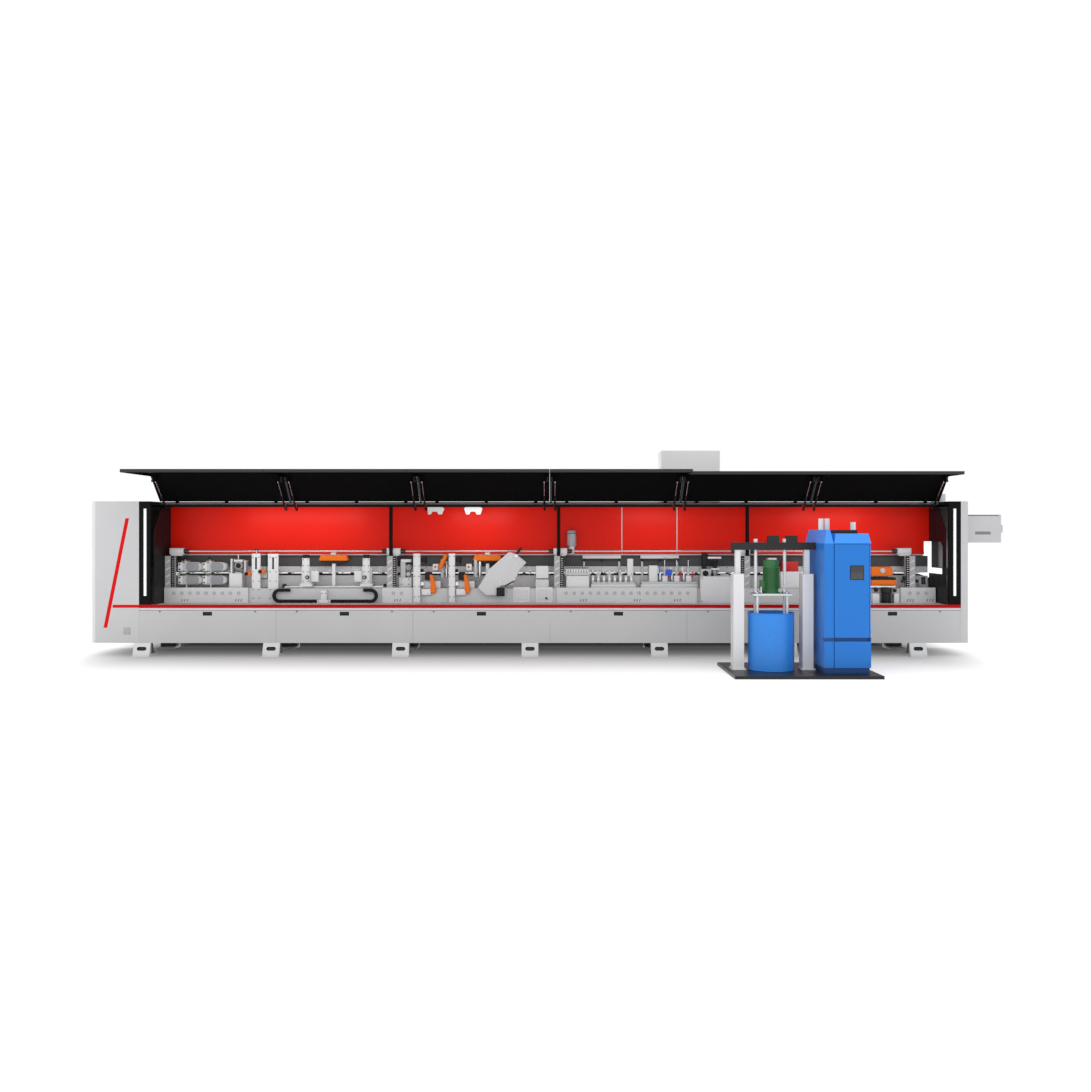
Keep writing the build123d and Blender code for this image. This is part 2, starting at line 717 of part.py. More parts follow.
# Trimming stations: scraping unit, uprights and heads of the edge trimmers, the guide rails of
# the end-cut saws, hood posts, the bracket between the cable chains and the access plates.
bed_seat = bed_top + seat
deck_seat = deck_top + seat
guide_rail_y = ((420, 440), (520, 540))
guide_rail_x = (-2930, -1720)
guide_rail_top = 775
trimming_bodies = (
    ((-3560, -3400), (400, 560), (bed_seat, 1060)),      # scraping unit
    ((-3272, -3171), (351, 400), (bed_seat, 1185)),      # upright of the first edge trimmer
    ((-3082, -2960), (351, 400), (bed_seat, 1180)),      # upright of the second edge trimmer
    ((-3260, -3090), (440, 560), (bed_seat, 960)),       # trimmer head
    ((-2350, -2310), (450, 500), (bed_seat, 1043)),      # post of the first dust hood
    ((-1555, -1405), (400, 560), (bed_seat, 1100)),      # fine trimming head
    ((-1369, -1287), (290, 349), (deck_seat, 1165)),     # upright of the profile trimmer
    ((-955, -881), (290, 349), (deck_seat, 1165)),       # upright of the rough trimmer
    ((-1270, -1060), (380, 560), (bed_seat, 880)),       # profile trimmer body
    ((-860, -660), (380, 560), (bed_seat, 880)),         # rough trimmer body
    ((-530, -490), (450, 500), (bed_seat, 1043)),        # post of the second dust hood
    ((-2494, -2336), (290, 349), (deck_seat, 700)),      # cable chain bracket
    ((-205, -10), (341, 349.7), (deck_seat, 770)),       # access plate
    ((64, 260), (341, 349.7), (deck_seat, 770)),         # access plate
)
with BuildPart() as trimming_stations:
    for x, y, z in trimming_bodies:
        block(x, y, z)
    for y in guide_rail_y:
        block(guide_rail_x, y, (bed_seat, guide_rail_top))
trimming_stations.part.label = "trimming_stations"
export_step(trimming_stations.part, "parts/trimming_stations.step")

# Press zone and heating zone: bases, press heads with their spindles, brush bars on brackets.
press_bodies = (
    ((710, 1240), (400, 540), (bed_seat, 850)),          # press station base
    ((760, 860), (420, 540), (850, 1010)),               # press head
    ((930, 1030), (420, 540), (850, 1010)),              # press head
    ((1100, 1200), (420, 540), (850, 1010)),             # press head
    ((1300, 1980), (420, 540), (bed_seat, 830)),         # guillotine base
    ((1400, 1500), (430, 540), (830, 1020)),             # tape guillotine
    ((1550, 1630), (430, 540), (830, 1000)),             # press roller head
    ((1690, 1770), (430, 540), (830, 1000)),             # press roller head
    ((1830, 1910), (430, 540), (830, 1000)),             # press roller head
    ((2800, 2900), (400, 560), (bed_seat, 1110)),        # heating zone support
    ((2950, 3200), (400, 560), (bed_seat, 1070)),        # heating zone body
)
spindle_x = (1590, 1730, 1870)
bar_x = ((616, 1074), (1307, 1766))
with BuildPart() as press_zone:
    for x, y, z in press_bodies:
        block(x, y, z)
    for x in spindle_x:
        bar((x, 470, 1000), (0, 0, 1), 7, 100)
    for x in bar_x:
        block(x, (545, 557), (1080, 1140))
        for end in (x[0] + 20, x[1] - 20):
            block((end - 12, end + 12), (545, 569), (bed_seat, 1080))
press_zone.part.label = "press_zone"
export_step(press_zone.part, "parts/press_zone.step")

# Pneumatics and lamps: switch box, valve manifold, lubricator on the back panel, lamp brackets.
lamp_outlines = (
    [(-1205, rail_low - seat), (-1033, rail_low - seat), (-1060, 1623), (-1190, 1623)],
    [(-779, rail_low - seat), (-562, rail_low - seat), (-590, 1623), (-752, 1623)],
)
with BuildPart() as bay_fittings:
    block((59, 214), (360, 470), (bed_seat, 1018))
    block((420, 690), (360, 480), (bed_seat, 985))
    block((440, 530), (545, bed_back - 5 - seat), (1240, 1420))
    bar((485, 500, 1154), (0, 0, 1), 22, 90)
    bar((485, 500, 1240), (0, 0, 1), 52, 195)
    for outline in lamp_outlines:
        along_y(outline, (328, 331))
bay_fittings.part.label = "bay_fittings"
export_step(bay_fittings.part, "parts/bay_fittings.step")

# Sheet hoods in signal colour: dust hoods over the saws and cutters, suction funnels, cutter covers.
hood_z = (1043 + seat, 1146)
hood_y = (430, 545)
with BuildPart() as trim_hoods:
    for middle in (-2330, -510):
        along_y(
            [
                (middle - 180, hood_z[0]),
                (middle + 180, hood_z[0]),
                (middle + 180, hood_z[0] + 35),
                (middle + 148, hood_z[1]),
                (middle - 148, hood_z[1]),
                (middle - 180, hood_z[0] + 35),
            ],
            hood_y,
        )
    for middle in (-1140, -742):
        along_y(
            [
                (middle - 42, 917),
                (middle - 10, 917),
                (middle + 22, 830),
                (middle + 38, 701),
                (middle - 20, 701),
                (middle - 34, 800),
            ],
            (300, 349.7),
        )
    along_y([(-1078, 978), (-1035, 978), (-955, 1154), (-1010, 1154), (-1078, 1030)], (349.3, 400))
    block((3940, 4240), (300, 430), (900, 1018))
    block((3940, 4275), (290, 430), (796, 858))
trim_hoods.part.label = "trim_hoods"
export_step(trim_hoods.part, "parts/trim_hoods.step")

# Cable chains of the end-cut carriages, lying on the deck with one end turned back.
link_depth = 39
link_y = (287, 327)
loop_outer = 84
loop_inner = loop_outer - link_depth
chain_low = deck_seat
with BuildPart() as cable_chains:
    for middle, lower_end, upper_end in ((-2934, -2494.3, -2809), (-1868, -2335.7, -1957)):
        side = 1 if lower_end > middle else -1
        with BuildSketch(Plane.XZ.offset(-link_y[1])) as links:
            with Locations((middle, chain_low + loop_outer)):
                Circle(loop_outer)
                Circle(loop_inner, mode=Mode.SUBTRACT)
                with Locations((side * loop_outer, 0)):
                    Rectangle(2 * loop_outer, 2 * loop_outer, mode=Mode.SUBTRACT)
            with Locations(((middle + lower_end) / 2, chain_low + link_depth / 2)):
                Rectangle(abs(lower_end - middle), link_depth)
            with Locations(((middle + upper_end) / 2, chain_low + 2 * loop_outer - link_depth / 2)):
                Rectangle(abs(upper_end - middle), link_depth)
        extrude(to_extrude=links.sketch, amount=link_y[1] - link_y[0])
cable_chains.part.label = "cable_chains"
export_step(cable_chains.part, "parts/cable_chains.step")

# End-cut carriages: a sliding base, an upright in front and the saw motor behind it.
carriage_x = (-2640, -1930)
carriage_names = ("end_cut_carriage_left", "end_cut_carriage_right")
for name, x in zip(carriage_names, carriage_x):
    with BuildPart() as carriage:
        block((x - 70, x + 70), (360, 556), (guide_rail_top + seat, 812))
        block((x - 34, x + 34), (360, 400), (812, 1150))
        block((x - 60, x + 60), (400, 430), (812, 1000))
        bar((x, 430, 900), (0, 1, 0), 55, 110)
        bar((x, 340, 884), (0, 1, 0), 22, 20)
    carriage.part.label = name
    export_step(carriage.part, f"parts/{name}.step")

# Corner rounding unit: the large slanted plate housing with its head behind.
corner_outline = [
    (-612, 766),
    (-477, 987),
    (-249, 1185),
    (-168, 1160),
    (-45, 1061),
    (-119, 987),
    (-206, 802),
    (-353, 790),
    (-353, 680),
    (-520, 680),
]
with BuildPart() as corner_rounding_unit:
    along_y(corner_outline, (268, 284))
    block((-430, -250), (284, 330), (850, 1000))
    block((-400, -330), (240, 268), (720, 800))
corner_rounding_unit.part.label = "corner_rounding_unit"
export_step(corner_rounding_unit.part, "parts/corner_rounding_unit.step")

# Glue unit: the cabinet in front of the bed, the tape feed head above and the guide bracket.
glue_roller_x = 2180
glue_roller_y = 530
with BuildPart() as glue_unit:
    block((1983, 2372), (262, 349.7), (deck_seat, 900))
    block((2010, 2130), (400, 560), (bed_seat, 1170))
    block((2130, 2240), (440, 572), (bed_seat, 870))
    block((2130, 2240), (440, 572), (965, 1100))
    bar((glue_roller_x, glue_roller_y, 840), (0, 0, 1), 10 + running, 160, mode=Mode.SUBTRACT)
glue_unit.part.label = "glue_unit"
export_step(glue_unit.part, "parts/glue_unit.step")

with BuildPart() as glue_roller:
    bar((glue_roller_x, glue_roller_y, 875), (0, 0, 1), 36, 85)
    bar((glue_roller_x, glue_roller_y, 842), (0, 0, 1), 10, 155)
glue_roller.part.label = "glue_roller"
export_step(glue_roller.part, "parts/glue_roller.step")

# Pre-milling unit: two upright motors under the cutters, on a cross slide in front of the bed.
mill_x = (4040, 4180)
mill_y = 500
mill_cutter = (862, 896)
with BuildPart() as premill_unit:
    block((3930, 4290), (440, 560), (bed_seat, 840))
    block((3940, 4275), (300, 440), (bed_top + 5, 790))
    bar((4155, 286, deck_seat), (0, 0, 1), 62, 170)
    block((3990, 4070), (262, 349.7), (deck_seat, 700))
    block((4240, 4300), (262, 349.7), (deck_seat, 700))
    for x in mill_x:
        bar((x, mill_y, 800), (0, 0, 1), 14 + running, 60, mode=Mode.SUBTRACT)
premill_unit.part.label = "premill_unit"
export_step(premill_unit.part, "parts/premill_unit.step")

for i, x in enumerate(mill_x):
    with BuildPart() as cutter:
        bar((x, mill_y, mill_cutter[0]), (0, 0, 1), 60, mill_cutter[1] - mill_cutter[0])
        bar((x, mill_y, 802), (0, 0, 1), 14, mill_cutter[0] - 802)
    cutter.part.label = f"premill_cutter_{i + 1}"
    export_step(cutter.part, f"parts/premill_cutter_{i + 1}.step")

# ---------------------------------------------------------------- console
console_x = (console_pin[0] + 30, console_pin[0] + 458)
console_half = 28
with BuildPart() as control_console:
    console_y = (console_pin[1] - console_half, console_pin[1] + console_half)
    block(console_x, console_y, (console_low, console_high))
    fillet(control_console.edges().filter_by(Axis.Y), radius=14)
    block((console_x[1], console_x[1] + 26), (console_pin[1] - 12, console_pin[1] + 12), (1410, 1500))
    barrel_low = arm_low + arm_thickness + seat
    barrel_high = arm_high - arm_thickness - seat
    bar((console_pin[0], console_pin[1], barrel_low), (0, 0, 1), 20, barrel_high - barrel_low)
    block(
        (console_pin[0], console_x[0] + 5),
        (console_pin[1] - 15, console_pin[1] + 15),
        (barrel_low, barrel_high),
    )
    bar(
        (console_pin[0], console_pin[1], arm_low),
        (0, 0, 1),
        console_pin_radius + running,
        arm_high - arm_low,
        mode=Mode.SUBTRACT,
    )
control_console.part.label = "control_console"
export_step(control_console.part, "parts/control_console.step")

# ---------------------------------------------------------------- board support on the operator's side
support_y = (1440, 1500)
support_x = (-3600, 4400)
support_arms = (-3300, -1050, 1200, 3450)
wheel_pitch = 200
with BuildPart() as panel_support:
    block(support_x, support_y, (805, chain_top - 40 - seat))
    for x in support_arms:
        block((x - 30, x + 30), (body_depth + seat, support_y[1]), (460, 520))
        block((x - 30, x + 30), support_y, (520, 805))
    for i in range(int((support_x[1] - support_x[0]) / wheel_pitch)):
        x = support_x[0] + wheel_pitch * (i + 0.5)
        bar((x, support_y[0] + 10, chain_top - 20), (0, 1, 0), 20, 40)
panel_support.part.label = "panel_support"
export_step(panel_support.part, "parts/panel_support.step")

# ---------------------------------------------------------------- glue drum station
plate_x = (2007, 3448)
station_y = (-1861, -785)
plate_top = 31
drum_x = 2464
drum_y = -1334
drum_radius = 231
drum_top = 609
drum_wall = 3
with BuildPart() as glue_drum:
    bar((drum_x, drum_y, plate_top), (0, 0, 1), drum_radius, drum_top - plate_top)
    bar(
        (drum_x, drum_y, plate_top + drum_wall),
        (0, 0, 1),
        drum_radius - drum_wall,
        drum_top,
        mode=Mode.SUBTRACT,
    )
glue_drum.part.label = "glue_drum"
export_step(glue_drum.part, "parts/glue_drum.step")

# Floor plate with two square columns, each guiding a post that carries the cross beam.
column_x = (2126, 2824)
column_y = -1325
column_half = (54, 78)
column_top = 997
column_wall = 6
inner_half = (26, 30)
column_slack = 0.5
with BuildPart() as drum_press_frame:
    block(plate_x, station_y, (0, plate_top))
    for x in column_x:
        block((x - 70, x + 70), (column_y - 94, column_y + 94), (plate_top, plate_top + 14))
        block(
            (x - column_half[0], x + column_half[0]),
            (column_y - column_half[1], column_y + column_half[1]),
            (plate_top, column_top),
        )
        block(
            (x - column_half[0] + column_wall, x + column_half[0] - column_wall),
            (column_y - column_half[1] + column_wall, column_y + column_half[1] - column_wall),
            (plate_top + 14, column_top - 60),
            mode=Mode.SUBTRACT,
        )
        block(
            (x - inner_half[0] - column_slack, x + inner_half[0] + column_slack),
            (column_y - inner_half[1] - column_slack, column_y + inner_half[1] + column_slack),
            (column_top - 61, column_top + 1),
            mode=Mode.SUBTRACT,
        )
drum_press_frame.part.label = "drum_press_frame"
export_step(drum_press_frame.part, "parts/drum_press_frame.step")

# Cross beam with its posts, the hanging rods, and the plate that follows the glue down the drum.
beam_end = (2063, 2904)
lift_beam_z = (1240, 1314)
post_low = 200
hang_x = (2311, 2604)
hang_radius = 16
motor_plate_x = (2270, 2658)
motor_plate_z = (780, 800)
follower_z = (380, 420)
with BuildPart() as follower_lift:
    block(beam_end, (column_y - 40, column_y + 40), lift_beam_z)
    for x in column_x:
        block(
            (x - inner_half[0], x + inner_half[0]),
            (column_y - inner_half[1], column_y + inner_half[1]),
            (post_low, lift_beam_z[0]),
        )
    for x in hang_x:
        bar((x, column_y, motor_plate_z[1]), (0, 0, 1), hang_radius, lift_beam_z[0] - motor_plate_z[1])
        bar((x, column_y, lift_beam_z[1]), (0, 0, 1), 21, 36)
    for x in (2431, 2617):
        block((x, x + 114), (column_y - 35, column_y + 35), (lift_beam_z[1], 1385))
    block(motor_plate_x, (drum_y - 95, drum_y + 95), motor_plate_z)
    for x in (drum_x - 150, drum_x + 150):
        for y in (drum_y - 70, drum_y + 70):
            bar((x, y, follower_z[1]), (0, 0, 1), 12, motor_plate_z[0] - follower_z[1])
    disc_radius = drum_radius - drum_wall - 4
    bar((drum_x, drum_y, follower_z[0]), (0, 0, 1), disc_radius, follower_z[1] - follower_z[0])
follower_lift.part.label = "follower_lift"
export_step(follower_lift.part, "parts/follower_lift.step")

# Pump motor on the plate, upright, with its flange and terminal box.
with BuildPart() as follower_motor:
    bar((drum_x, drum_y, motor_plate_z[1] + seat), (0, 0, 1), 85, 16)
    bar((drum_x, drum_y, motor_plate_z[1] + 16), (0, 0, 1), 72, 319)
    block((drum_x - 103, drum_x - 60), (drum_y - 35, drum_y + 35), (motor_plate_z[1] + 16, 925))
follower_motor.part.label = "follower_motor"
export_step(follower_motor.part, "parts/follower_motor.step")

# Melter cabinet: two bevelled housings side by side, skirt, drawer front and top fittings.
melter_x = (2914, 3373)
melter_y = (-1684, -916)
melter_body = (87, 1307)
melter_split = 3010
melter_tops = (1441, 1405)
melter_groove = 8
melter_door_z = (384, 1300)
front_y = melter_y[0] + door_depth + seat
hinge_x = melter_x[1] - door_barrel
hinge_front = melter_y[0] + door_depth / 2
with BuildPart() as melter_cabinet:
    block(
        (melter_x[0] + 12, melter_x[1] - 12),
        (melter_y[0] + 12, melter_y[1] - 12),
        (plate_top, melter_body[0]),
    )
    block(melter_x, (front_y, melter_y[1]), melter_body)
    block((melter_x[0], melter_split - melter_groove / 2), (melter_y[0], front_y), melter_body)
    block((melter_split + melter_groove / 2, melter_x[1]), (melter_y[0], front_y), (melter_body[0], 347))
    top_spans = ((melter_x[0], melter_split - melter_groove / 2), (melter_split, melter_x[1]))
    for x, top in zip(top_spans, melter_tops):
        with BuildSketch(Plane.XY.offset(melter_body[1])) as base:
            with Locations(((x[0] + x[1]) / 2, (melter_y[0] + melter_y[1]) / 2)):
                Rectangle(x[1] - x[0], melter_y[1] - melter_y[0])
        extrude(to_extrude=base.sketch, amount=top - melter_body[1], taper=12)
    block(
        (melter_x[0] + 4, melter_x[1] - 4),
        (front_y + 4, melter_y[1] - 4),
        (melter_body[0] + 4, melter_body[1] - 4),
        mode=Mode.SUBTRACT,
    )
    block((hinge_x - door_barrel, melter_x[1]), (melter_y[0], front_y), (340, melter_door_z[0] - seat))
    pin_low = melter_door_z[0] - 10
    bar((hinge_x, hinge_front, pin_low), (0, 0, 1), door_pin, melter_body[1] - pin_low + 2)
    for x, top in ((2980, 1556), (3040, 1556), (3305, 1520)):
        bar((x, -1300, 1380), (0, 0, 1), 26, top - 1380)
    block((3050, 3275), (-1560, -1400), (melter_tops[1], 1440))
melter_cabinet.part.label = "melter_cabinet"
export_step(melter_cabinet.part, "parts/melter_cabinet.step")

melter_door_x = (melter_split + melter_groove / 2, melter_x[1] - 2 * door_barrel - 1)
with BuildPart() as melter_door:
    block(melter_door_x, (melter_y[0], melter_y[0] + door_depth), melter_door_z)
    block(
        (melter_door_x[0] + sheet, melter_door_x[1] - sheet),
        (melter_y[0] + sheet, melter_y[0] + door_depth + 1),
        (melter_door_z[0] + sheet, melter_door_z[1] - sheet),
        mode=Mode.SUBTRACT,
    )
    block((3165, 3302), (melter_y[0] - 2, melter_y[0] + sheet), (950, 1092))
    for z in (430, 830, 1230):
        bar((hinge_x, hinge_front, z), (0, 0, 1), door_barrel, door_barrel_length)
        leaf_y = (hinge_front - 4, hinge_front + 4)
        block((melter_door_x[1] - 2, hinge_x), leaf_y, (z, z + door_barrel_length))
        bar(
            (hinge_x, hinge_front, z - 1),
            (0, 0, 1),
            door_pin + running,
            door_barrel_length + 2,
            mode=Mode.SUBTRACT,
        )
melter_door.part.label = "melter_door"
export_step(melter_door.part, "parts/melter_door.step")
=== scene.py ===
import math

import bpy
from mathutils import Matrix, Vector


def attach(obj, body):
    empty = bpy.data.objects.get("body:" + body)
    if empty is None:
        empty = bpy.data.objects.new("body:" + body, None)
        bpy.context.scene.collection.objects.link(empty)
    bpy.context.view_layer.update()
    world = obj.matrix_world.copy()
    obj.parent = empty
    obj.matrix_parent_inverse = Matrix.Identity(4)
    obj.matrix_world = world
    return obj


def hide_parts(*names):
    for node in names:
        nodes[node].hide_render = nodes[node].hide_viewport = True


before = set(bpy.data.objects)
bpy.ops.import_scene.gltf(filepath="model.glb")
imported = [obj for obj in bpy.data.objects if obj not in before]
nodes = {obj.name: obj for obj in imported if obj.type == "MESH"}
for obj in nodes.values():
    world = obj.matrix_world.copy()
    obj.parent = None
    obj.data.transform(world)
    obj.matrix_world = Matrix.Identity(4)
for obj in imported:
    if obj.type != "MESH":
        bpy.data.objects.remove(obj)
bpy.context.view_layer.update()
bpy.ops.object.select_all(action="DESELECT")

# ------------------------------------------------------------------ studio
# A level camera stands in front of the machine, on a floor that fades to a white sky.
# Soft lights stand behind, in front and to the left; four lamps under the hood light the bay.
lens = bpy.data.cameras.new("front_camera")
lens.sensor_fit = "VERTICAL"
lens.sensor_height = 36.0
lens.lens = 34.71
lens.shift_x = -0.0023
lens.shift_y = -0.01465
lens.clip_end = 200.0
camera = bpy.data.objects.new("front_camera", lens)
camera.location = (0.205, -12.004, 1.44)
camera.rotation_euler = (math.radians(90), 0, 0)
bpy.context.collection.objects.link(camera)
bpy.context.scene.camera = camera
bpy.context.scene.view_settings.view_transform = "Standard"
bpy.context.scene.view_settings.look = "None"

sky = bpy.data.worlds.new("white_sky")
sky.use_nodes = True
sky.node_tree.nodes["Background"].inputs["Color"].default_value = (1, 1, 1, 1)
sky.node_tree.nodes["Background"].inputs["Strength"].default_value = 1.0
bpy.context.scene.world = sky

for name, place, turn, wide, high, power in (
    ("front_light", (0.5, -9.0, 6.0), (58, 0, 0), 13.0, 2.5, 190.0),
    ("left_light", (-8.5, -6.0, 3.2), (80, 0, -70), 3.0, 4.0, 50.0),
    ("back_light", (0.0, 7.0, 9.0), (-40, 0, 0), 14.0, 4.0, 700.0),
    ("bay_light_1", (-2.75, 0.16, 1.60), (52, 0, 0), 1.4, 0.08, 2.4),
    ("bay_light_2", (-0.6, 0.16, 1.60), (52, 0, 0), 0.7, 0.08, 1.3),
    ("bay_light_3", (1.45, 0.16, 1.60), (52, 0, 0), 0.7, 0.08, 1.0),
    ("bay_light_4", (3.6, 0.16, 1.60), (52, 0, 0), 0.9, 0.08, 1.4),
):
    soft = bpy.data.lights.new(name, "AREA")
    soft.shape = "RECTANGLE"
    soft.size = wide
    soft.size_y = high
    soft.energy = power
    lamp = bpy.data.objects.new(name, soft)
    lamp.location = place
    lamp.rotation_euler = [math.radians(angle) for angle in turn]
    bpy.context.collection.objects.link(lamp)


class Socket:
    """An output inside a material that takes part in Python sums."""

    def __init__(self, finish, link):
        self.finish = finish
        self.link = link

    def math(self, operation, first, second):
        return self.finish.node("ShaderNodeMath", {"operation": operation}, {0: first, 1: second})

    def __add__(self, other):
        return self.math("ADD", self, other)

    def __radd__(self, other):
        return self.math("ADD", other, self)

    def __sub__(self, other):
        return self.math("SUBTRACT", self, other)

    def __rsub__(self, other):
        return self.math("SUBTRACT", other, self)

    def __mul__(self, other):
        return self.math("MULTIPLY", self, other)

    def __rmul__(self, other):
        return self.math("MULTIPLY", other, self)

    def __gt__(self, other):
        return self.math("GREATER_THAN", self, other)

    def __lt__(self, other):
        return self.math("LESS_THAN", self, other)

    def __abs__(self):
        return self.math("ABSOLUTE", self, 0.0)

    def __mod__(self, other):
        return self.math("FLOORED_MODULO", self, other)

    def between(self, low, high):
        return (self > low) * (self < high)

    def at_least(self, least):
        return self.math("MAXIMUM", self, least)

    def root(self):
        return self.math("SQRT", self, 0.0)


class Finish:
    """A material built round one surface shader, with the object's own coordinates at hand."""

    def __init__(self, name):
        self.material = bpy.data.materials.new(name)
        self.material.use_nodes = True
        self.tree = self.material.node_tree
        self.shader = self.tree.nodes["Principled BSDF"]
        self.place = self.node("ShaderNodeTexCoord", output="Object")
        axes = self.node("ShaderNodeSeparateXYZ", {}, {0: self.place}).link.node
        self.x, self.y, self.z = [Socket(self, output) for output in axes.outputs]

    def node(self, kind, settings=None, values=None, output=0):
        made = self.tree.nodes.new(kind)
        for key, value in (settings or {}).items():
            setattr(made, key, value)
        for key, value in (values or {}).items():
            self.join(made.inputs[key], value)
        return Socket(self, made.outputs[output])

    def join(self, entry, value):
        if isinstance(value, Socket):
            self.tree.links.new(value.link, entry)
        elif entry.type == "RGBA" and len(value) == 3:
            entry.default_value = (*value, 1)
        else:
            entry.default_value = value

    def surface(self, **values):
        for key, value in values.items():
            self.join(self.shader.inputs[key.replace("_", " ")], value)

    def noise(self, scale, detail=3.0):
        return self.node("ShaderNodeTexNoise", {}, {"Vector": self.place, "Scale": scale, "Detail": detail})

    def mix(self, share, first, second):
        return self.node(
            "ShaderNodeMix",
            {"data_type": "RGBA"},
            {0: share, 6: first, 7: second},
            output=2,
        )

    def relief(self, height, strength=0.2, distance=0.001):
        return self.node(
            "ShaderNodeBump",
            {},
            {"Height": height, "Strength": strength, "Distance": distance},
        )


# The floor is matt, and its colour is painted dark as a soft shadow under the machine. Away from it
# the painted shadow fades and the floor glows to the white of the sky.
bpy.ops.mesh.primitive_plane_add(size=160, location=(0, 0, 0))
floor = bpy.context.object
floor.name = "studio_floor"
floor_paint = Finish("studio_floor")
shadow_half, shadow_front, shadow_back = 4.3, 1.35, 2.1
fade = 2.6
beside = (abs(floor_paint.x) - shadow_half).at_least(0.0) * fade
before = (shadow_front - floor_paint.y).at_least(0.0)
behind = (floor_paint.y - shadow_back).at_least(0.0) * fade
away = beside * beside + before * before + behind * behind
# painted shadow: dark and unlit near the machine, white and glowing away from it
painted_shadow_fade = floor_paint.node(
    "ShaderNodeMapRange",
    {"interpolation_type": "SMOOTHSTEP"},
    {"Value": away.root(), "From Min": -0.1, "From Max": 3.2},
)
floor_paint.surface(
    Base_Color=floor_paint.mix(painted_shadow_fade, (0.015, 0.015, 0.015), (0.62, 0.62, 0.62)),
    Roughness=floor_paint.noise(0.4) * 0.1 + 0.85,
    Emission_Color=floor_paint.mix(painted_shadow_fade, (0.0, 0.0, 0.0), (1.0, 1.0, 1.0)),
    Emission_Strength=0.55,
)
floor_paint.shader.inputs["Specular IOR Level"].default_value = 0.0
floor.data.materials.append(floor_paint.material)


# ------------------------------------------------------------------ housing
# Towers, panels and roof are folded sheet, powder coated light grey. Inside the towers the grey is
# painted darker as shade, and the left tower's outer edge is painted lighter as a highlight. The
# left tower carries one slanted red stripe with a bar that runs on from the red ledge. The side
# walls are black.
grey = (0.52, 0.52, 0.53)
black = (0.012, 0.012, 0.014)
red = (0.62, 0.003, 0.004)
stripe_half = 0.021
stripe_foot = (-4.842, 0.325)
stripe_top = 1.575
stripe_lean = 0.2
front_skin = 0.002
bay_left = -4.459
bay_middle = 0.2285
side_wall = (4.5, 4.5315)


def shade(colour, share):
    """A colour made lighter or darker."""
    return tuple(min(1.0, part * share) for part in colour)


def enamel(name, colour, rough=0.42, peel=0.12, coat=0.0, gloss=0.3, areas=()):
    """Sprayed paint: slow cloudiness, a fine orange-peel relief and dull handling marks.

    gloss is how much the paint mirrors at all; areas holds pairs of a mask, made from the
    finish, and the colour there."""
    finish = Finish(name)
    cloud = finish.noise(1.7)
    base = finish.mix(cloud, shade(colour, 0.94), shade(colour, 1.05))
    for mask, other in areas:
        base = finish.mix(mask(finish), base, finish.mix(cloud, shade(other, 0.92), shade(other, 1.06)))
    marks = finish.noise(11.0, 6.0)
    finish.surface(
        Base_Color=base,
        Roughness=marks * 0.16 + (rough - 0.08),
        Normal=finish.relief(finish.noise(700.0, 2.0), peel),
        Coat_Weight=coat,
        Specular_IOR_Level=gloss,
    )
    return finish.material


def wear(node, material):
    """A CAD piece keeps its shape and takes this finish."""
    slots = nodes[node].data.materials
    slots.clear()
    slots.append(material)


def slanted_stripe(finish):
    line = finish.x - (finish.z - stripe_foot[1]) * stripe_lean - stripe_foot[0]
    inside = (abs(line) < stripe_half) * (finish.z > stripe_foot[1]) * (finish.z < stripe_top)
    return inside * (finish.y < front_skin) * (finish.x < bay_left)


def level_bar(finish):
    inside = finish.z.between(0.553, 0.588) * finish.x.between(-4.76, bay_left)
    return inside * (finish.y < front_skin)


def side_walls(finish):
    off_middle = abs(finish.x - bay_middle)
    return off_middle.between(*side_wall) * (finish.z > 0.5)


def tower_inside_shade(finish):
    return (abs(finish.x) < 4.988) * finish.y.between(0.0035, 0.9215) * finish.z.between(0.16, 1.7635)


wear("end_towers", enamel("tower_paint", grey, gloss=0.1, areas=(
    # painted shade on the faces inside the towers
    (tower_inside_shade, (0.20, 0.20, 0.21)),
    (side_walls, black),
    # painted highlight along the left tower's outer edge
    (lambda finish: finish.x < -4.958, (0.66, 0.66, 0.665)),
    (slanted_stripe, red),
    (level_bar, red),
)))
wear("roof_shell", enamel("roof_paint", grey))
cabinet_grey = (0.76, 0.76, 0.765)
wear("electrical_cabinet", enamel("cabinet_paint", cabinet_grey))
wear("cabinet_door", enamel("cabinet_door_paint", cabinet_grey))

# Lift-off panels along the base, with black pull cups and small steel quarter-turn locks.
panel_pitch = 1.562


def pull_cups(finish):
    along = abs((finish.x - bay_left) % panel_pitch - panel_pitch / 2)
    return (along < 0.0526) * (abs(finish.z - 0.4855) < 0.0216) * (finish.y < 0.016)


wear("lower_panels", enamel("panel_paint", (0.49, 0.49, 0.495), areas=(
    (pull_cups, (0.006, 0.006, 0.006)),
    (lambda finish: finish.y < -0.0004, (0.12, 0.12, 0.12)),
)))

# The ledge along the deck is a red folded strip over a frosted light bar.
wear("trim_ledge", enamel("ledge_paint", (0.42, 0.001, 0.002), rough=0.35, gloss=0.1, areas=(
    (lambda finish: finish.z < 0.5508, (0.62, 0.62, 0.63)),
)))

# The welded base is dark below; its deck and the box beam for the tool units are off-white.
wear("bed_frame", enamel("base_paint", (0.07, 0.06, 0.05), rough=0.55, areas=(
    (lambda finish: finish.z > 0.5755, (0.55, 0.55, 0.56)),
)))
foot_pitch = 1.473


# The slots in the feet are painted black as the shade inside them.
def foot_slot_shade(finish):
    depth = finish.y * -0.9354 + (finish.z - 0.152) * 0.3535
    along = abs((finish.x + foot_pitch / 2) % foot_pitch - foot_pitch / 2)
    return (depth < -0.001) * finish.z.between(0.045, 0.135) * (along < 0.0545) * (finish.y < 0.02)


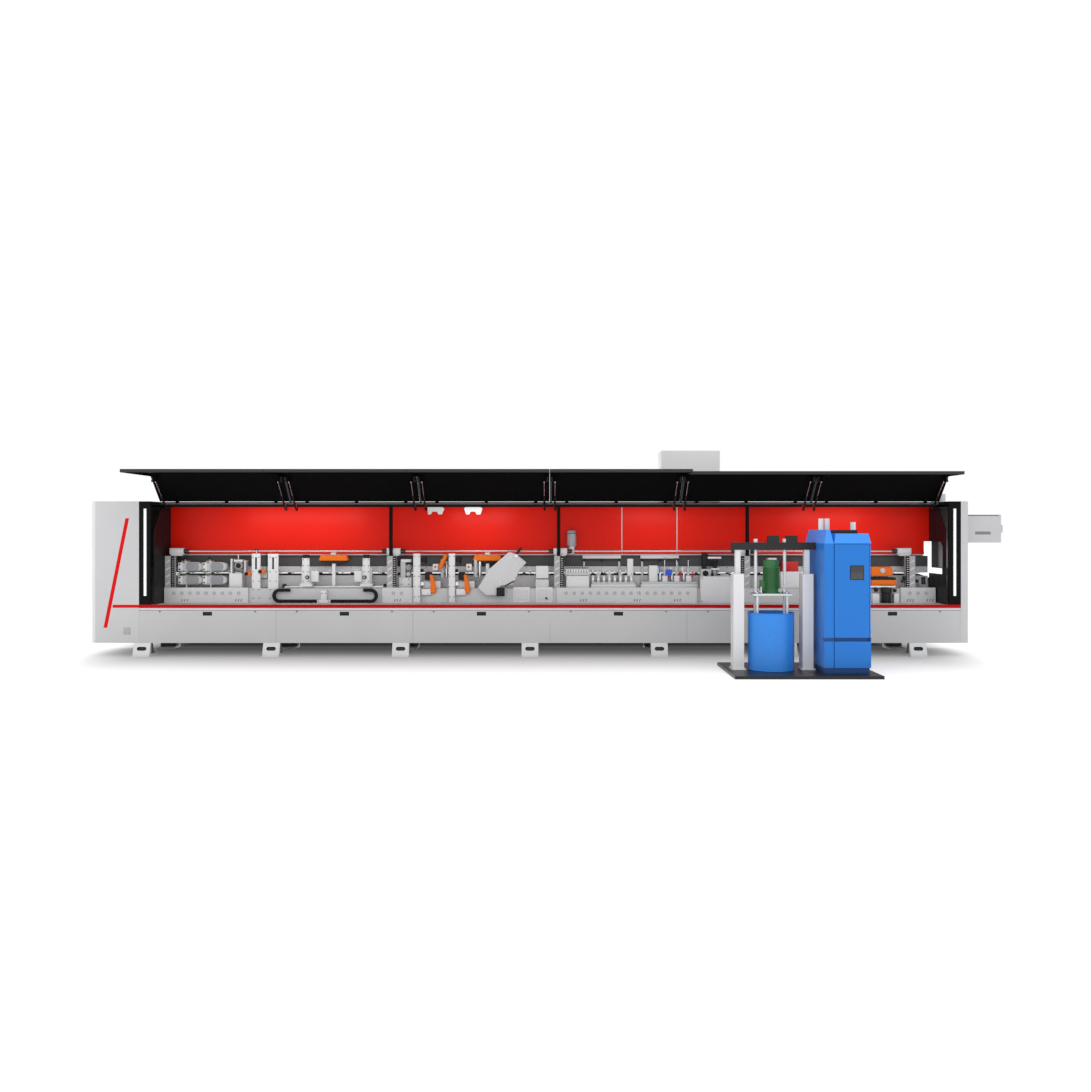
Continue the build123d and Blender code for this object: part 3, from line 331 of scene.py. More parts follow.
wear("machine_feet", enamel("feet_paint", (0.66, 0.66, 0.66), areas=(
    (foot_slot_shade, (0.01, 0.01, 0.01)),
    (lambda finish: finish.y.between(0.012, 0.913) * (finish.z > 0.026), (0.13, 0.095, 0.05)),
)))
wear("back_panel", enamel("back_paint", (0.72, 0.010, 0.002), rough=0.36, gloss=0.12))
wear("hood_frame", enamel("frame_paint", (0.006, 0.006, 0.007), rough=0.4, gloss=0.05))
wear("panel_support", enamel("support_paint", grey, areas=(
    (lambda finish: finish.z > 0.8775, (0.03, 0.03, 0.03)),
)))


def eased(piece, width, segments=2):
    """Rounds the edges of a piece as a press brake or a file would."""
    bpy.context.view_layer.objects.active = piece
    bevel = piece.modifiers.new("eased", "BEVEL")
    bevel.width = width
    bevel.segments = segments
    bevel.limit_method = "ANGLE"
    bpy.ops.object.modifier_apply(modifier=bevel.name)
    return piece


def block(low, high, paint, edge=0.002):
    """Housing or bar between two corners, with eased edges."""
    middle = [(a + b) / 2 for a, b in zip(low, high)]
    size = [b - a for a, b in zip(low, high)]
    bpy.ops.mesh.primitive_cube_add(size=1, location=middle)
    piece = bpy.context.object
    piece.scale = size
    bpy.ops.object.transform_apply(location=False, rotation=False, scale=True)
    piece.data.materials.append(paint)
    return eased(piece, min(edge, min(size) * 0.3))


def turned(start, end, radius, paint, edge=0.002, sides=32, tip=None):
    """Round bar from one point to another, tapered where a tip radius is given."""
    run = Vector(end) - Vector(start)
    bpy.ops.mesh.primitive_cone_add(
        vertices=sides,
        radius1=radius,
        radius2=radius if tip is None else tip,
        depth=run.length,
        location=(Vector(start) + Vector(end)) / 2,
    )
    piece = bpy.context.object
    piece.rotation_mode = "QUATERNION"
    piece.rotation_quaternion = run.to_track_quat("Z", "Y")
    bpy.ops.object.transform_apply(location=False, rotation=True, scale=False)
    piece.data.materials.append(paint)
    return eased(piece, min(edge, radius * 0.3, run.length * 0.3))


def plate(outline, axis, low, high, paint, edge=0.001):
    """Flat outline cut from sheet or plate and given its thickness along one axis."""
    bpy.ops.mesh.primitive_circle_add(vertices=len(outline), fill_type="NGON")
    piece = bpy.context.object
    piece.location = (0, 0, 0)
    for vertex, (a, b) in zip(piece.data.vertices, outline):
        vertex.co = {"X": (low, a, b), "Y": (a, low, b), "Z": (a, b, low)}[axis]
    push = {"X": (high - low, 0, 0), "Y": (0, high - low, 0), "Z": (0, 0, high - low)}[axis]
    bpy.ops.object.mode_set(mode="EDIT")
    bpy.ops.mesh.select_all(action="SELECT")
    bpy.ops.mesh.extrude_region_move(TRANSFORM_OT_translate={"value": push})
    bpy.ops.mesh.select_all(action="SELECT")
    bpy.ops.mesh.normals_make_consistent(inside=False)
    bpy.ops.object.mode_set(mode="OBJECT")
    piece.data.materials.append(paint)
    return eased(piece, min(edge, abs(high - low) * 0.3), 1)


def copied(piece, places):
    """The piece itself and copies of it, each moved by one of the places."""
    made = []
    for place in places:
        twin = piece.copy()
        twin.data = piece.data.copy()
        bpy.context.collection.objects.link(twin)
        twin.location = piece.location + Vector(place)
        made.append(twin)
    bpy.data.objects.remove(piece)
    return made


def mounted(name, bits, body, hides=()):
    """Joins the bits of one piece, sets its origin and fixes it to a body."""
    bpy.ops.object.select_all(action="DESELECT")
    for bit in bits:
        bit.select_set(True)
    bpy.context.view_layer.objects.active = bits[0]
    if len(bits) > 1:
        bpy.ops.object.join()
    piece = bpy.context.view_layer.objects.active
    piece.name = name
    bpy.ops.object.transform_apply(location=True, rotation=True, scale=True)
    bpy.ops.object.shade_smooth_by_angle(angle=math.radians(32))
    piece.select_set(False)
    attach(piece, body)
    if hides:
        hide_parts(*hides)
    return piece


def moulded(name, colour, rough=0.55, grain=300.0):
    """Plastic or rubber with a fine moulded grain."""
    finish = Finish(name)
    speck = finish.noise(grain, 2.0)
    finish.surface(
        Base_Color=finish.mix(finish.noise(4.0), shade(colour, 0.85), shade(colour, 1.15)),
        Roughness=speck * 0.14 + (rough - 0.07),
        Normal=finish.relief(speck, 0.25),
        Specular_IOR_Level=0.12 if max(colour) < 0.1 else 0.4,
    )
    return finish.material


# Vent of the left tower: a square field of small round punched holes with a thin rim. The holes
# are discs painted dark grey as the shade inside them.
dark = moulded("dark_plastic", (0.02, 0.02, 0.021))
vent_paint = enamel("vent_paint", (0.44, 0.44, 0.45))
vent_hole = enamel("vent_hole", (0.22, 0.22, 0.22))
vent_pitch = 0.016
hole = turned((-4.627, -0.0015, 0.255), (-4.627, 0.001, 0.255), 0.0045, vent_hole, 0.0004, 10)
vent = copied(hole, [(vent_pitch * i, 0, vent_pitch * j) for i in range(5) for j in range(5)])
vent.append(block((-4.639, -0.001, 0.243), (-4.551, 0.0005, 0.331), vent_paint, 0.0005))
mounted("tower_vent", vent, "machine")

def steel(name, colour, rough=0.3, lengthways=(1.0, 60.0, 60.0)):
    """Ground or drawn metal with fine lines along its length."""
    finish = Finish(name)
    drawn = finish.node("ShaderNodeMapping", {}, {"Vector": finish.place, "Scale": lengthways})
    lines = finish.node("ShaderNodeTexNoise", {}, {"Vector": drawn, "Scale": 6.0, "Detail": 4.0})
    finish.surface(
        Base_Color=finish.mix(lines, shade(colour, 0.82), shade(colour, 1.08)),
        Metallic=1.0,
        Roughness=lines * 0.2 + (rough - 0.1),
        Normal=finish.relief(lines, 0.08, 0.0005),
    )
    return finish.material


# Light strips stand upright in the black end frames: frosted tubes between thin dark rims.
frosted = Finish("frosted_light")
frosted.surface(
    Base_Color=frosted.mix(frosted.noise(2.0), (0.86, 0.87, 0.88), (0.93, 0.94, 0.95)),
    Roughness=frosted.noise(9.0) * 0.1 + 0.3,
    Emission_Color=(1, 1, 1),
    Emission_Strength=0.35,
)
chrome = steel("bright_steel", (0.72, 0.72, 0.73), 0.2)
strip_low, strip_high = 0.68, 1.693
for side, x in (("left", -4.388), ("right", 4.842)):
    strip = [
        block((x - 0.014, -0.006, 0.69), (x + 0.014, 0.001, 1.683), frosted.material, 0.004),
        block((x - 0.025, -0.003, strip_low), (x - 0.0145, 0.001, strip_high), dark, 0.001),
        block((x + 0.0145, -0.003, strip_low), (x + 0.025, 0.001, strip_high), dark, 0.001),
    ]
    mounted(f"light_strip_{side}", strip, "machine")

# Panel seams on the red back are painted as light lines, a painted highlight on their folded edges,
# and a thin painted highlight runs along the hinge rail.
seam_paint = enamel("seam_paint", (0.55, 0.45, 0.45))
seams = [
    block((x - 0.0065, 0.566, 1.15), (x + 0.0065, 0.571, 1.72), seam_paint, 0.001)
    for x in (1.087, 1.745)
]
seams.append(block((-4.29, 0.556, 1.138), (4.68, 0.5595, 1.152), seam_paint, 0.001))
mounted("back_seams", seams, "machine")
mounted(
    "rail_line",
    [block((-4.329, 0.3165, 1.744), (4.776, 0.3178, 1.748), seam_paint, 0.0004)],
    "machine",
)

# ------------------------------------------------------------------ covers
# Six lift-up covers of folded black sheet. Their front lips catch the light and look dark grey.
# A pale slanted stiffener is welded into each cover's shoulder, and a latch hook to its corner.
lip_grey = (0.042, 0.042, 0.045)
cover_black = (0.003, 0.003, 0.0035)
cover_left = -4.329
cover_pitch = 9.105 / 6
cover_gap = 0.004
stiffener_paint = enamel("stiffener_paint", (0.055, 0.055, 0.058), gloss=0.2)
cover_reach = [-0.862] * 4 + [-0.456] * 2
for number in range(1, 7):
    edge = cover_reach[number - 1] + 0.0012
    lip = (lambda finish: finish.y < edge, lip_grey)
    paint = enamel(f"cover_paint_{number}", cover_black, rough=0.5, gloss=0.04, areas=(lip,))
    wear(f"cover_{number}", paint)
    left = cover_left + cover_pitch * (number - 1) + cover_gap
    right = left + cover_pitch - 2 * cover_gap
    bits = []
    if number > 1:
        outline = [(0.286, 1.771), (0.276, 1.762), (-0.004, 2.030), (0.006, 2.041)]
        bits.append(plate(outline, "X", left, left + 0.022, stiffener_paint, 0.002))
    for x in (left + 0.012, right - 0.03):
        bits.append(block((x, -0.012, 1.992), (x + 0.02, 0.014, 2.05), dark, 0.003))
        bits.append(turned((x - 0.004, -0.002, 1.998), (x + 0.024, -0.002, 1.998), 0.011, dark))
    mounted(f"cover_stiffeners_{number}", bits, f"cover_{number}_body")

# Gas struts: black tubes that swivel on the rail, bright rods that push the covers up.
tube_black = enamel("strut_tube_paint", (0.008, 0.008, 0.009), rough=0.25, gloss=0.3)
rod_chrome = steel("strut_rod_chrome", (0.70, 0.66, 0.66), 0.15, (60.0, 3.0, 3.0))
for number in range(1, 7):
    wear(f"strut_tubes_{number}", tube_black)
    wear(f"strut_rods_{number}", rod_chrome)

# ------------------------------------------------------------------ feed track
# A box track carries the running surface for the feed chain, painted white on the inside.
white = (0.70, 0.70, 0.705)
track_paint = enamel("track_paint", (0.62, 0.62, 0.625), areas=(
    (lambda finish: finish.y > 0.747, (0.25, 0.25, 0.26)),
))
wear("conveyor_beam", track_paint)
sprocket_steel = steel("sprocket_steel", (0.5, 0.5, 0.51))
wear("drive_sprocket", sprocket_steel)
wear("idler_sprocket", sprocket_steel)

# The chain is a closed loop of ribbed rubber pads, each on a steel link.
chain_left, chain_right, chain_z = -4.150, 4.620, 0.790
pad_high, pad_low = 0.127, 0.114
pad_rubber = moulded("pad_rubber", (0.022, 0.022, 0.023), 0.7, 500.0)
link_steel = steel("link_steel", (0.36, 0.36, 0.37), 0.35)
pad = block((-0.0285, 0.606, pad_low), (0.0285, 0.724, pad_high), pad_rubber, 0.002)
link = block((-0.025, 0.64, 0.109), (0.025, 0.69, pad_low), link_steel, 0.001)
bpy.ops.object.select_all(action="DESELECT")
pad.select_set(True)
link.select_set(True)
bpy.context.view_layer.objects.active = pad
bpy.ops.object.join()
bpy.ops.object.transform_apply(location=True, rotation=True, scale=True)
straight = chain_right - chain_left
mean_radius = 0.12
loop = 2 * straight + 2 * math.pi * mean_radius
pad_count = int(loop / 0.061)
pads = []
for index in range(pad_count):
    run = loop * index / pad_count
    twin = pad.copy()
    twin.data = pad.data.copy()
    bpy.context.collection.objects.link(twin)
    if run < straight:
        place, angle = (chain_left + run, 0, chain_z), 0
    elif run < straight + math.pi * mean_radius:
        place, angle = (chain_right, 0, chain_z), (run - straight) / mean_radius
    elif run < 2 * straight + math.pi * mean_radius:
        place, angle = (chain_right - (run - straight - math.pi * mean_radius), 0, chain_z), math.pi
    else:
        place, angle = (chain_left, 0, chain_z), (run - 2 * straight) / mean_radius
    twin.location = place
    twin.rotation_euler = (0, angle, 0)
    pads.append(twin)
bpy.data.objects.remove(pad)
mounted("feed_pads", pads, "machine", ["feed_chain"])


# ------------------------------------------------------------------ pressure beam and lift
# The beam over the boards is a dark box section with a white skirt and rubber-tyred rollers.
def skirt(finish):
    return (finish.y < 0.5945) * (finish.z < 1.006)


def roller_tyres(finish):
    return (finish.z < 0.990) * (finish.y > 0.6145) * (finish.y < 0.7255)


wear("pressure_beam", enamel("beam_paint", (0.075, 0.075, 0.078), gloss=0.2, areas=(
    (skirt, (0.66, 0.66, 0.67)),
    (roller_tyres, (0.03, 0.03, 0.03)),
)))

# Row of chrome roller axle heads and screws that hold the skirt to the beam.
head = turned((-4.21, 0.5875, 0.957), (-4.21, 0.583, 0.957), 0.009, chrome, 0.001, 12)
heads = copied(head, [(0.15 * i, 0, 0) for i in range(60)])
head = turned((-4.25, 0.5875, 0.99), (-4.25, 0.584, 0.99), 0.005, dark, 0.001, 8)
heads += copied(head, [(0.3 * i, 0, 0) for i in range(30)])
mounted("skirt_screws", heads, "pressure_beam_body")

# One shaft turns all the jack screws together; black elastic couplings join its lengths.
shaft_paint = Finish("sync_shaft_steel")
shaft_y, shaft_z, bare_radius = 0.42, 1.19, 0.013
off_y, off_z = shaft_paint.y - shaft_y, shaft_paint.z - shaft_z
coupling = off_y * off_y + off_z * off_z > bare_radius ** 2
shaft_paint.surface(
    Base_Color=shaft_paint.mix(coupling, (0.55, 0.55, 0.56), (0.015, 0.015, 0.016)),
    Metallic=1.0 - coupling,
    Roughness=shaft_paint.noise(40.0) * 0.15 + 0.22,
)
wear("sync_shaft", shaft_paint.material)

# Lift posts are channel sections with a roller chain beside them and a worm gearbox on top.
post_x = (-4.256, -1.651, 0.312, 2.542, 4.480)
post_side = (1, 1, 1, -1, -1)
gearbox_x = (-4.168, -1.613, 0.350, 2.504, 4.400)
post_paint = enamel("post_paint", (0.40, 0.40, 0.41), areas=(
    (lambda finish: finish.z > 1.14, (0.60, 0.60, 0.61)),
))
wear("lift_posts", post_paint)
relief_paint = enamel("relief_paint", (0.62, 0.62, 0.63))
post_bits = []
for x, side, box_middle in zip(post_x, post_side, gearbox_x):
    for step in range(4):
        low = 0.79 + 0.085 * step
        zigzag = [(x - 0.026, low), (x + 0.026, low + 0.03)]
        zigzag += [(x + 0.026, low + 0.052), (x - 0.026, low + 0.022)]
        post_bits.append(plate(zigzag, "Y", 0.346, 0.353, relief_paint, 0.001))
    chain_x = x + side * 0.056
    post_bits.append(block((chain_x - 0.021, 0.347, 0.757), (chain_x + 0.021, 0.353, 1.133), dark, 0.002))
    roller_ends = [(chain_x + reach, 0.343, 0.775) for reach in (-0.012, 0.012)]
    roller = turned(*roller_ends, 0.005, chrome, 0.001, 10)
    post_bits += copied(roller, [(0, 0, 0.0254 * i) for i in range(14)])
    corners = (box_middle - 0.070, 0.377, 1.163), (box_middle + 0.070, 0.386, 1.219)
    post_bits.append(block(*corners, relief_paint, 0.006))
    for corner in (-0.058, 0.058):
        for height in (1.172, 1.210):
            start = (box_middle + corner, 0.378, height)
            post_bits.append(turned(start, (box_middle + corner, 0.373, height), 0.005, chrome, 0.001, 8))
mounted("lift_post_fronts", post_bits, "machine")

# ------------------------------------------------------------------ fairings
# Folded off-white sheets close the bed's front. They have a row of pressed dimples at the top,
# painted darker as their shading, and groups of three slanted slots near the deck, which are thin
# dark plates painted as the shade inside them.
fairing_white = (0.62, 0.62, 0.625)
fairing_paint = enamel("fairing_paint", fairing_white, rough=0.38)
# the dimples are painted darker as their shading
dimple_paint = enamel("dimple_paint", fairing_white, rough=0.38, areas=(
    (lambda finish: finish.y < 0.3298, (0.44, 0.44, 0.445)),
))
wear("front_fairings", dimple_paint)
# The slanted slots are thin dark plates painted as the shade inside them.
slots = []
for middle in (-4.05, -3.42, -1.56, 0.62, 1.25, 1.72, 4.45, 4.68):
    for step in (-0.032, 0.0, 0.032):
        x = middle + step
        outline = [(x - 0.010, 0.602), (x - 0.002, 0.602), (x + 0.010, 0.632), (x + 0.002, 0.632)]
        slots.append(plate(outline, "Y", 0.3292, 0.3305, dark, 0.0003))
mounted("fairing_slots", slots, "machine")

# ------------------------------------------------------------------ buffing unit
# Four cast aluminium motors, two above and two below the board, hang on white stands and
# carry stitched cloth wheels. Ball knobs on top set the wheels' pressure.
cast = enamel("cast_light", (0.52, 0.53, 0.54), rough=0.35, peel=0.3)
cast_cap = enamel("cast_cap", (0.30, 0.31, 0.325), rough=0.4, peel=0.5)
unit_white = enamel("unit_white_paint", white, rough=0.36, gloss=0.4)
cloth = Finish("wheel_cloth")
weave = cloth.node(
    "ShaderNodeTexWave",
    {"wave_type": "RINGS", "rings_direction": "X"},
    {"Vector": cloth.place, "Scale": 60.0, "Distortion": 2.0},
)
cloth.surface(
    Base_Color=cloth.mix(weave, (0.52, 0.47, 0.36), (0.72, 0.68, 0.58)),
    Roughness=weave * 0.1 + 0.85,
    Normal=cloth.relief(weave, 0.6, 0.002),
)
wear("upper_buffing_wheels", cloth.material)
wear("lower_buffing_wheels", cloth.material)


def oval(x, z, half_wide, half_high, power=3.2, points=32):
    """Outline of a cushion-shaped casting."""
    outline = []
    for index in range(points):
        angle = 2 * math.pi * index / points
        run, rise = math.cos(angle), math.sin(angle)
        outline.append((
            x + half_wide * math.copysign(abs(run) ** (2 / power), run),
            z + half_high * math.copysign(abs(rise) ** (2 / power), rise),
        ))
    return outline


def knob(x, y, z, radius, paint, reach=0.03):
    """Ball knob on a short bright stem."""
    bpy.ops.mesh.primitive_uv_sphere_add(segments=20, ring_count=12, radius=radius, location=(x, y, z))
    ball = bpy.context.object
    ball.data.materials.append(paint)
    low, high = z - radius - reach, z - radius * 0.7
    return [ball, turned((x, y, low), (x, y, high), radius * 0.35, chrome, 0.001, 12)]


def fasteners(places, y, radius=0.006, paint=None):
    """Socket-head screws in a front face."""
    first = turned((0, y, 0), (0, y - 0.005, 0), radius, paint or dark, 0.001, 10)
    return copied(first, [(x, 0, z) for x, z in places])


bits = []
for x in (-4.063, -3.775):
    bits.append(block((x - 0.012, 0.430, 0.756), (x, 0.565, 1.075), unit_white, 0.003))
    bits += knob(x - 0.022, 0.445, 1.105, 0.015, dark)
    for z in (1.005, 0.849):
        bits.append(plate(oval(x + 0.044, z, 0.141, 0.056), "Y", 0.4245, 0.56, cast, 0.012))
        bits.append(plate(oval(x + 0.071, z, 0.070, 0.048), "Y", 0.406, 0.426, cast_cap, 0.008))
        for fin in range(5):
            across = x + 0.034 + 0.018 * fin
            low, high = (across, 0.402, z - 0.03), (across + 0.005, 0.41, z + 0.03)
            bits.append(block(low, high, cast_cap, 0.001))
        bits.append(block((x - 0.098, 0.424, z - 0.05), (x - 0.046, 0.4305, z + 0.05), unit_white, 0.002))
        bits += fasteners([(x - 0.080, z + 0.03), (x - 0.080, z - 0.03)], 0.4245, 0.010)
bits.append(block((-4.17, 0.40, 0.915), (-3.56, 0.412, 0.931), dark, 0.002))
mounted("buffing_motors", bits, "machine", ["buffing_unit"])

# ------------------------------------------------------------------ trimming stations
# Milled uprights carry small scraping and trimming heads. Counters, clamp levers and orange
# handwheels set them. The guide rails of the end-cut saws run along the bed between them.
orange = enamel("orange_paint", (0.78, 0.155, 0.008), rough=0.35, gloss=0.2)
rail_steel = steel("rail_steel", (0.60, 0.60, 0.61), 0.25)
hood_lining = moulded("hood_lining", (0.03, 0.03, 0.03), 0.7)
# scraping unit with its round dark motor
bits = [
    block((-3.555, 0.41, 0.756), (-3.402, 0.56, 0.93), unit_white, 0.004),
    block((-3.545, 0.43, 0.93), (-3.525, 0.55, 1.10), unit_white, 0.003),
    block((-3.385, 0.43, 0.93), (-3.365, 0.55, 1.08), unit_white, 0.003),
    turned((-3.443, 0.40, 1.02), (-3.443, 0.55, 1.02), 0.048, cast_cap, 0.008),
    turned((-3.443, 0.392, 1.02), (-3.443, 0.402, 1.02), 0.030, dark, 0.003),
    block((-3.50, 0.42, 1.06), (-3.40, 0.53, 1.09), unit_white, 0.004),
    turned((-3.46, 0.46, 1.09), (-3.46, 0.46, 1.15), 0.008, chrome),
]
# uprights of the first trimmers with slots, counters and a T-handle; the slots are dark strips
# painted as the shade inside them
for left, right, top in ((-3.272, -3.171, 1.163), (-3.082, -2.960, 1.160)):
    bits.append(block((left, 0.351, 0.590), (right, 0.372, top), unit_white, 0.004))
    bits.append(block((left + 0.012, 0.372, 0.756), (right - 0.012, 0.400, top - 0.02), cast, 0.003))
    middle = (left + right) / 2
    # the slot is a dark strip painted as the shade inside it
    bits.append(block((middle - 0.010, 0.3495, 0.98), (middle + 0.010, 0.3515, 1.12), dark, 0.0005))
    heights = (0.64, 0.74, 0.84, 0.95, 1.12)
    bits += fasteners([(middle + a, z) for a in (-0.035, 0.035) for z in heights], 0.351)
bits += [
    turned((-3.222, 0.385, 1.16), (-3.222, 0.385, 1.205), 0.007, chrome),
    block((-3.247, 0.375, 1.20), (-3.197, 0.395, 1.217), dark, 0.005),
    turned((-3.105, 0.36, 0.93), (-3.105, 0.36, 1.19), 0.0045, dark, 0.001, 12),
]
for x, z in ((-3.309, 0.929), (-3.148, 0.952)):
    bits += [
        turned((x, 0.33, z), (x, 0.36, z), 0.032, orange, 0.006, 24),
        turned((x - 0.02, 0.322, z), (x - 0.02, 0.36, z), 0.022, dark, 0.005, 20),
        turned((x, 0.36, z), (x, 0.45, z), 0.008, chrome),
    ]
# trimmer head between and behind the uprights
bits += [
    block((-3.26, 0.44, 0.756), (-3.09, 0.56, 0.86), cast, 0.005),
    block((-3.24, 0.43, 0.87), (-3.11, 0.54, 0.955), unit_white, 0.006),
    turned((-3.10, 0.48, 0.90), (-3.02, 0.48, 0.90), 0.035, cast_cap, 0.006),
]
# guide rails with end stops
for low, high in ((0.420, 0.440), (0.520, 0.540)):
    bits.append(block((-2.93, low, 0.756), (-1.72, high, 0.775), rail_steel, 0.002))
for x in (-2.925, -1.735):
    bits.append(block((x, 0.405, 0.756), (x + 0.012, 0.555, 0.80), dark, 0.002))
# fine trimming head
bits += [
    block((-1.555, 0.42, 0.756), (-1.405, 0.56, 0.88), unit_white, 0.004),
    block((-1.535, 0.41, 0.88), (-1.475, 0.52, 1.06), cast, 0.004),
    turned((-1.44, 0.40, 1.0), (-1.44, 0.54, 1.0), 0.036, cast_cap, 0.006),
    turned((-1.44, 0.395, 0.92), (-1.44, 0.54, 0.92), 0.026, cast, 0.006),
    block((-1.53, 0.405, 1.06), (-1.41, 0.50, 1.095), unit_white, 0.004),
    *fasteners([(-1.52, 0.80), (-1.44, 0.80), (-1.52, 0.86), (-1.44, 0.86)], 0.42),
]
# uprights and bodies of the profile and rough trimmers
for left, right in ((-1.369, -1.287), (-0.955, -0.881)):
    bits.append(block((left, 0.290, 0.590), (right, 0.312, 1.165), unit_white, 0.004))
    bits.append(block((left + 0.012, 0.312, 0.60), (right - 0.012, 0.345, 1.12), cast, 0.003))
    middle = (left + right) / 2
    heights = (0.66, 0.78, 0.90, 1.02, 1.13)
    bits += [
        *fasteners([(middle + a, z) for a in (-0.026, 0.026) for z in heights], 0.290),
        turned((right + 0.03, 0.32, 1.09), (right + 0.03, 0.42, 1.09), 0.030, dark, 0.006, 20),
        turned((right + 0.06, 0.33, 1.12), (right + 0.06, 0.37, 1.05), 0.013, dark, 0.004, 14),
        block((right + 0.012, 0.305, 0.68), (right + 0.12, 0.345, 0.75), unit_white, 0.004),
        turned((right + 0.02, 0.31, 0.81), (right + 0.02, 0.37, 0.81), 0.022, chrome, 0.004, 20),
        turned((right + 0.015, 0.305, 0.965), (right + 0.015, 0.35, 0.965), 0.020, dark, 0.004, 20),
    ]
for left, right, motor in ((-1.27, -1.06, -1.204), (-0.86, -0.66, -0.81)):
    dot = enamel(f"dot_red_{left}", red)
    bits += [
        block((left, 0.38, 0.756), (right, 0.56, 0.84), unit_white, 0.005),
        block((motor - 0.034, 0.33, 0.855), (motor + 0.034, 0.52, 0.941), dark, 0.006),
        block((motor - 0.045, 0.40, 0.84), (motor + 0.06, 0.55, 0.88), cast, 0.004),
        block((motor + 0.05, 0.40, 0.965), (motor + 0.115, 0.50, 1.04), unit_white, 0.004),
        turned((motor + 0.08, 0.399, 1.005), (motor + 0.08, 0.395, 1.005), 0.012, dot, 0.001, 16),
        turned((motor + 0.16, 0.45, 0.88), (motor + 0.16, 0.45, 1.09), 0.022, cast, 0.004),
        turned((motor + 0.21, 0.45, 0.88), (motor + 0.21, 0.45, 1.07), 0.018, chrome, 0.004),
    ]
# posts of the dust hoods
hood_middles = (-2.33, -0.51)
for middle in hood_middles:
    bits.append(block((middle - 0.02, 0.45, 0.756), (middle + 0.02, 0.50, 1.043), unit_white, 0.003))
# bracket between the cable chains and the pressed access plates with their turn knobs
bits += [
    block((-2.494, 0.290, 0.589), (-2.336, 0.349, 0.62), unit_white, 0.003),
    block((-2.45, 0.292, 0.62), (-2.38, 0.34, 0.735), unit_white, 0.004),
    *fasteners([(-2.475, 0.605), (-2.355, 0.605), (-2.435, 0.70), (-2.395, 0.70)], 0.291),
]
for left, right in ((-0.205, -0.010), (0.064, 0.260)):
    bits.append(block((left, 0.341, 0.589), (right, 0.3497, 0.770), unit_white, 0.004))
    cushion = oval((left + right) / 2, 0.68, 0.080, 0.062, 5.0)
    bits.append(plate(cushion, "Y", 0.336, 0.343, fairing_paint, 0.003))
bits.append(turned((0.185, 0.322, 0.64), (0.185, 0.337, 0.64), 0.013, dark, 0.003, 16))
mounted("trimming_heads", bits, "machine", ["trimming_stations"])

# ------------------------------------------------------------------ end-cut carriages
# Each saw carriage is a white upright on a slide with a black dust cap, a clamp knob in front
# and the saw motor behind it.
for side, x, body in (("left", -2.64, "left_carriage_body"), ("right", -1.93, "right_carriage_body")):
    out = -1 if side == "left" else 1
    bits = [
        block((x - 0.07, 0.36, 0.7755), (x + 0.07, 0.556, 0.812), unit_white, 0.004),
        block((x - 0.042, 0.36, 0.812), (x + 0.042, 0.375, 1.109), unit_white, 0.004),
        block((x - 0.034, 0.375, 0.812), (x + 0.034, 0.40, 1.09), cast, 0.003),
        block((x - 0.036, 0.362, 1.109), (x + 0.036, 0.40, 1.150), dark, 0.005),
        block((x - 0.06, 0.400, 0.812), (x + 0.06, 0.430, 1.0), unit_white, 0.005),
        turned((x, 0.430, 0.90), (x, 0.54, 0.90), 0.055, cast_cap, 0.006),
        turned((x - out * 0.02, 0.345, 0.884), (x - out * 0.02, 0.36, 0.884), 0.024, dark, 0.005, 20),
        turned((x - out * 0.02, 0.335, 0.884), (x - out * 0.02, 0.346, 0.884), 0.011, cast, 0.003, 16),
        block((x - out * 0.10 - 0.045, 0.385, 0.83), (x - out * 0.10 + 0.045, 0.43, 0.96), unit_white, 0.006),
        block((x - out * 0.10 - 0.06, 0.41, 0.96), (x - out * 0.10 + 0.03, 0.44, 0.985), cast, 0.003),
    ]
    bits += fasteners([(x + a, z) for a in (-0.026, 0.026) for z in (0.84, 0.95, 1.02, 1.09)], 0.36)
    mounted(f"saw_carriage_{side}", bits, body, [f"end_cut_carriage_{side}"])

# ------------------------------------------------------------------ dust hoods and funnels
# Orange sheet hoods with dark linings catch the saw dust; curved funnels draw the chips off.
bits = []
for middle in hood_middles:
    hood = [
        (middle - 0.165, 1.078), (middle + 0.165, 1.078), (middle + 0.172, 1.090), (middle + 0.148, 1.146),
        (middle - 0.148, 1.146), (middle - 0.172, 1.090),
    ]
    bits.append(plate(hood, "Y", 0.43, 0.545, orange, 0.003))
    lining = [(middle - 0.150, 1.0545), (middle + 0.150, 1.0545)]
    lining += [(middle + 0.158, 1.078), (middle - 0.158, 1.078)]
    bits.append(plate(lining, "Y", 0.436, 0.54, hood_lining, 0.003))
    bits.append(block((middle - 0.03, 0.44, 1.1465), (middle + 0.03, 0.50, 1.178), unit_white, 0.004))
for middle in (-1.14, -0.742):
    funnel = [
        (middle - 0.042, 0.917), (middle - 0.008, 0.917), (middle + 0.010, 0.875), (middle + 0.022, 0.820),
        (middle + 0.036, 0.760), (middle + 0.036, 0.720), (middle + 0.020, 0.701), (middle - 0.020, 0.701),
        (middle - 0.034, 0.740), (middle - 0.026, 0.800), (middle - 0.034, 0.860),
    ]
    bits.append(plate(funnel, "Y", 0.30, 0.3497, orange, 0.008))
bits.append(plate([(-1.078, 0.978), (-1.045, 0.978), (-0.965, 1.154), (-1.010, 1.154), (-1.078, 1.03)],
                  "Y", 0.3493, 0.40, orange, 0.008))
# cutter covers of the pre-milling unit
bits += [
    block((3.985, 0.30, 0.90), (4.235, 0.43, 1.01), orange, 0.012),
    turned((4.115, 0.288, 0.965), (4.115, 0.302, 0.965), 0.030, cast, 0.006, 24),
    block((3.99, 0.295, 0.858), (4.27, 0.43, 0.885), dark, 0.006),
    block((3.98, 0.290, 0.796), (4.275, 0.43, 0.858), orange, 0.010),
]
mounted("dust_hoods", bits, "machine", ["trim_hoods"])

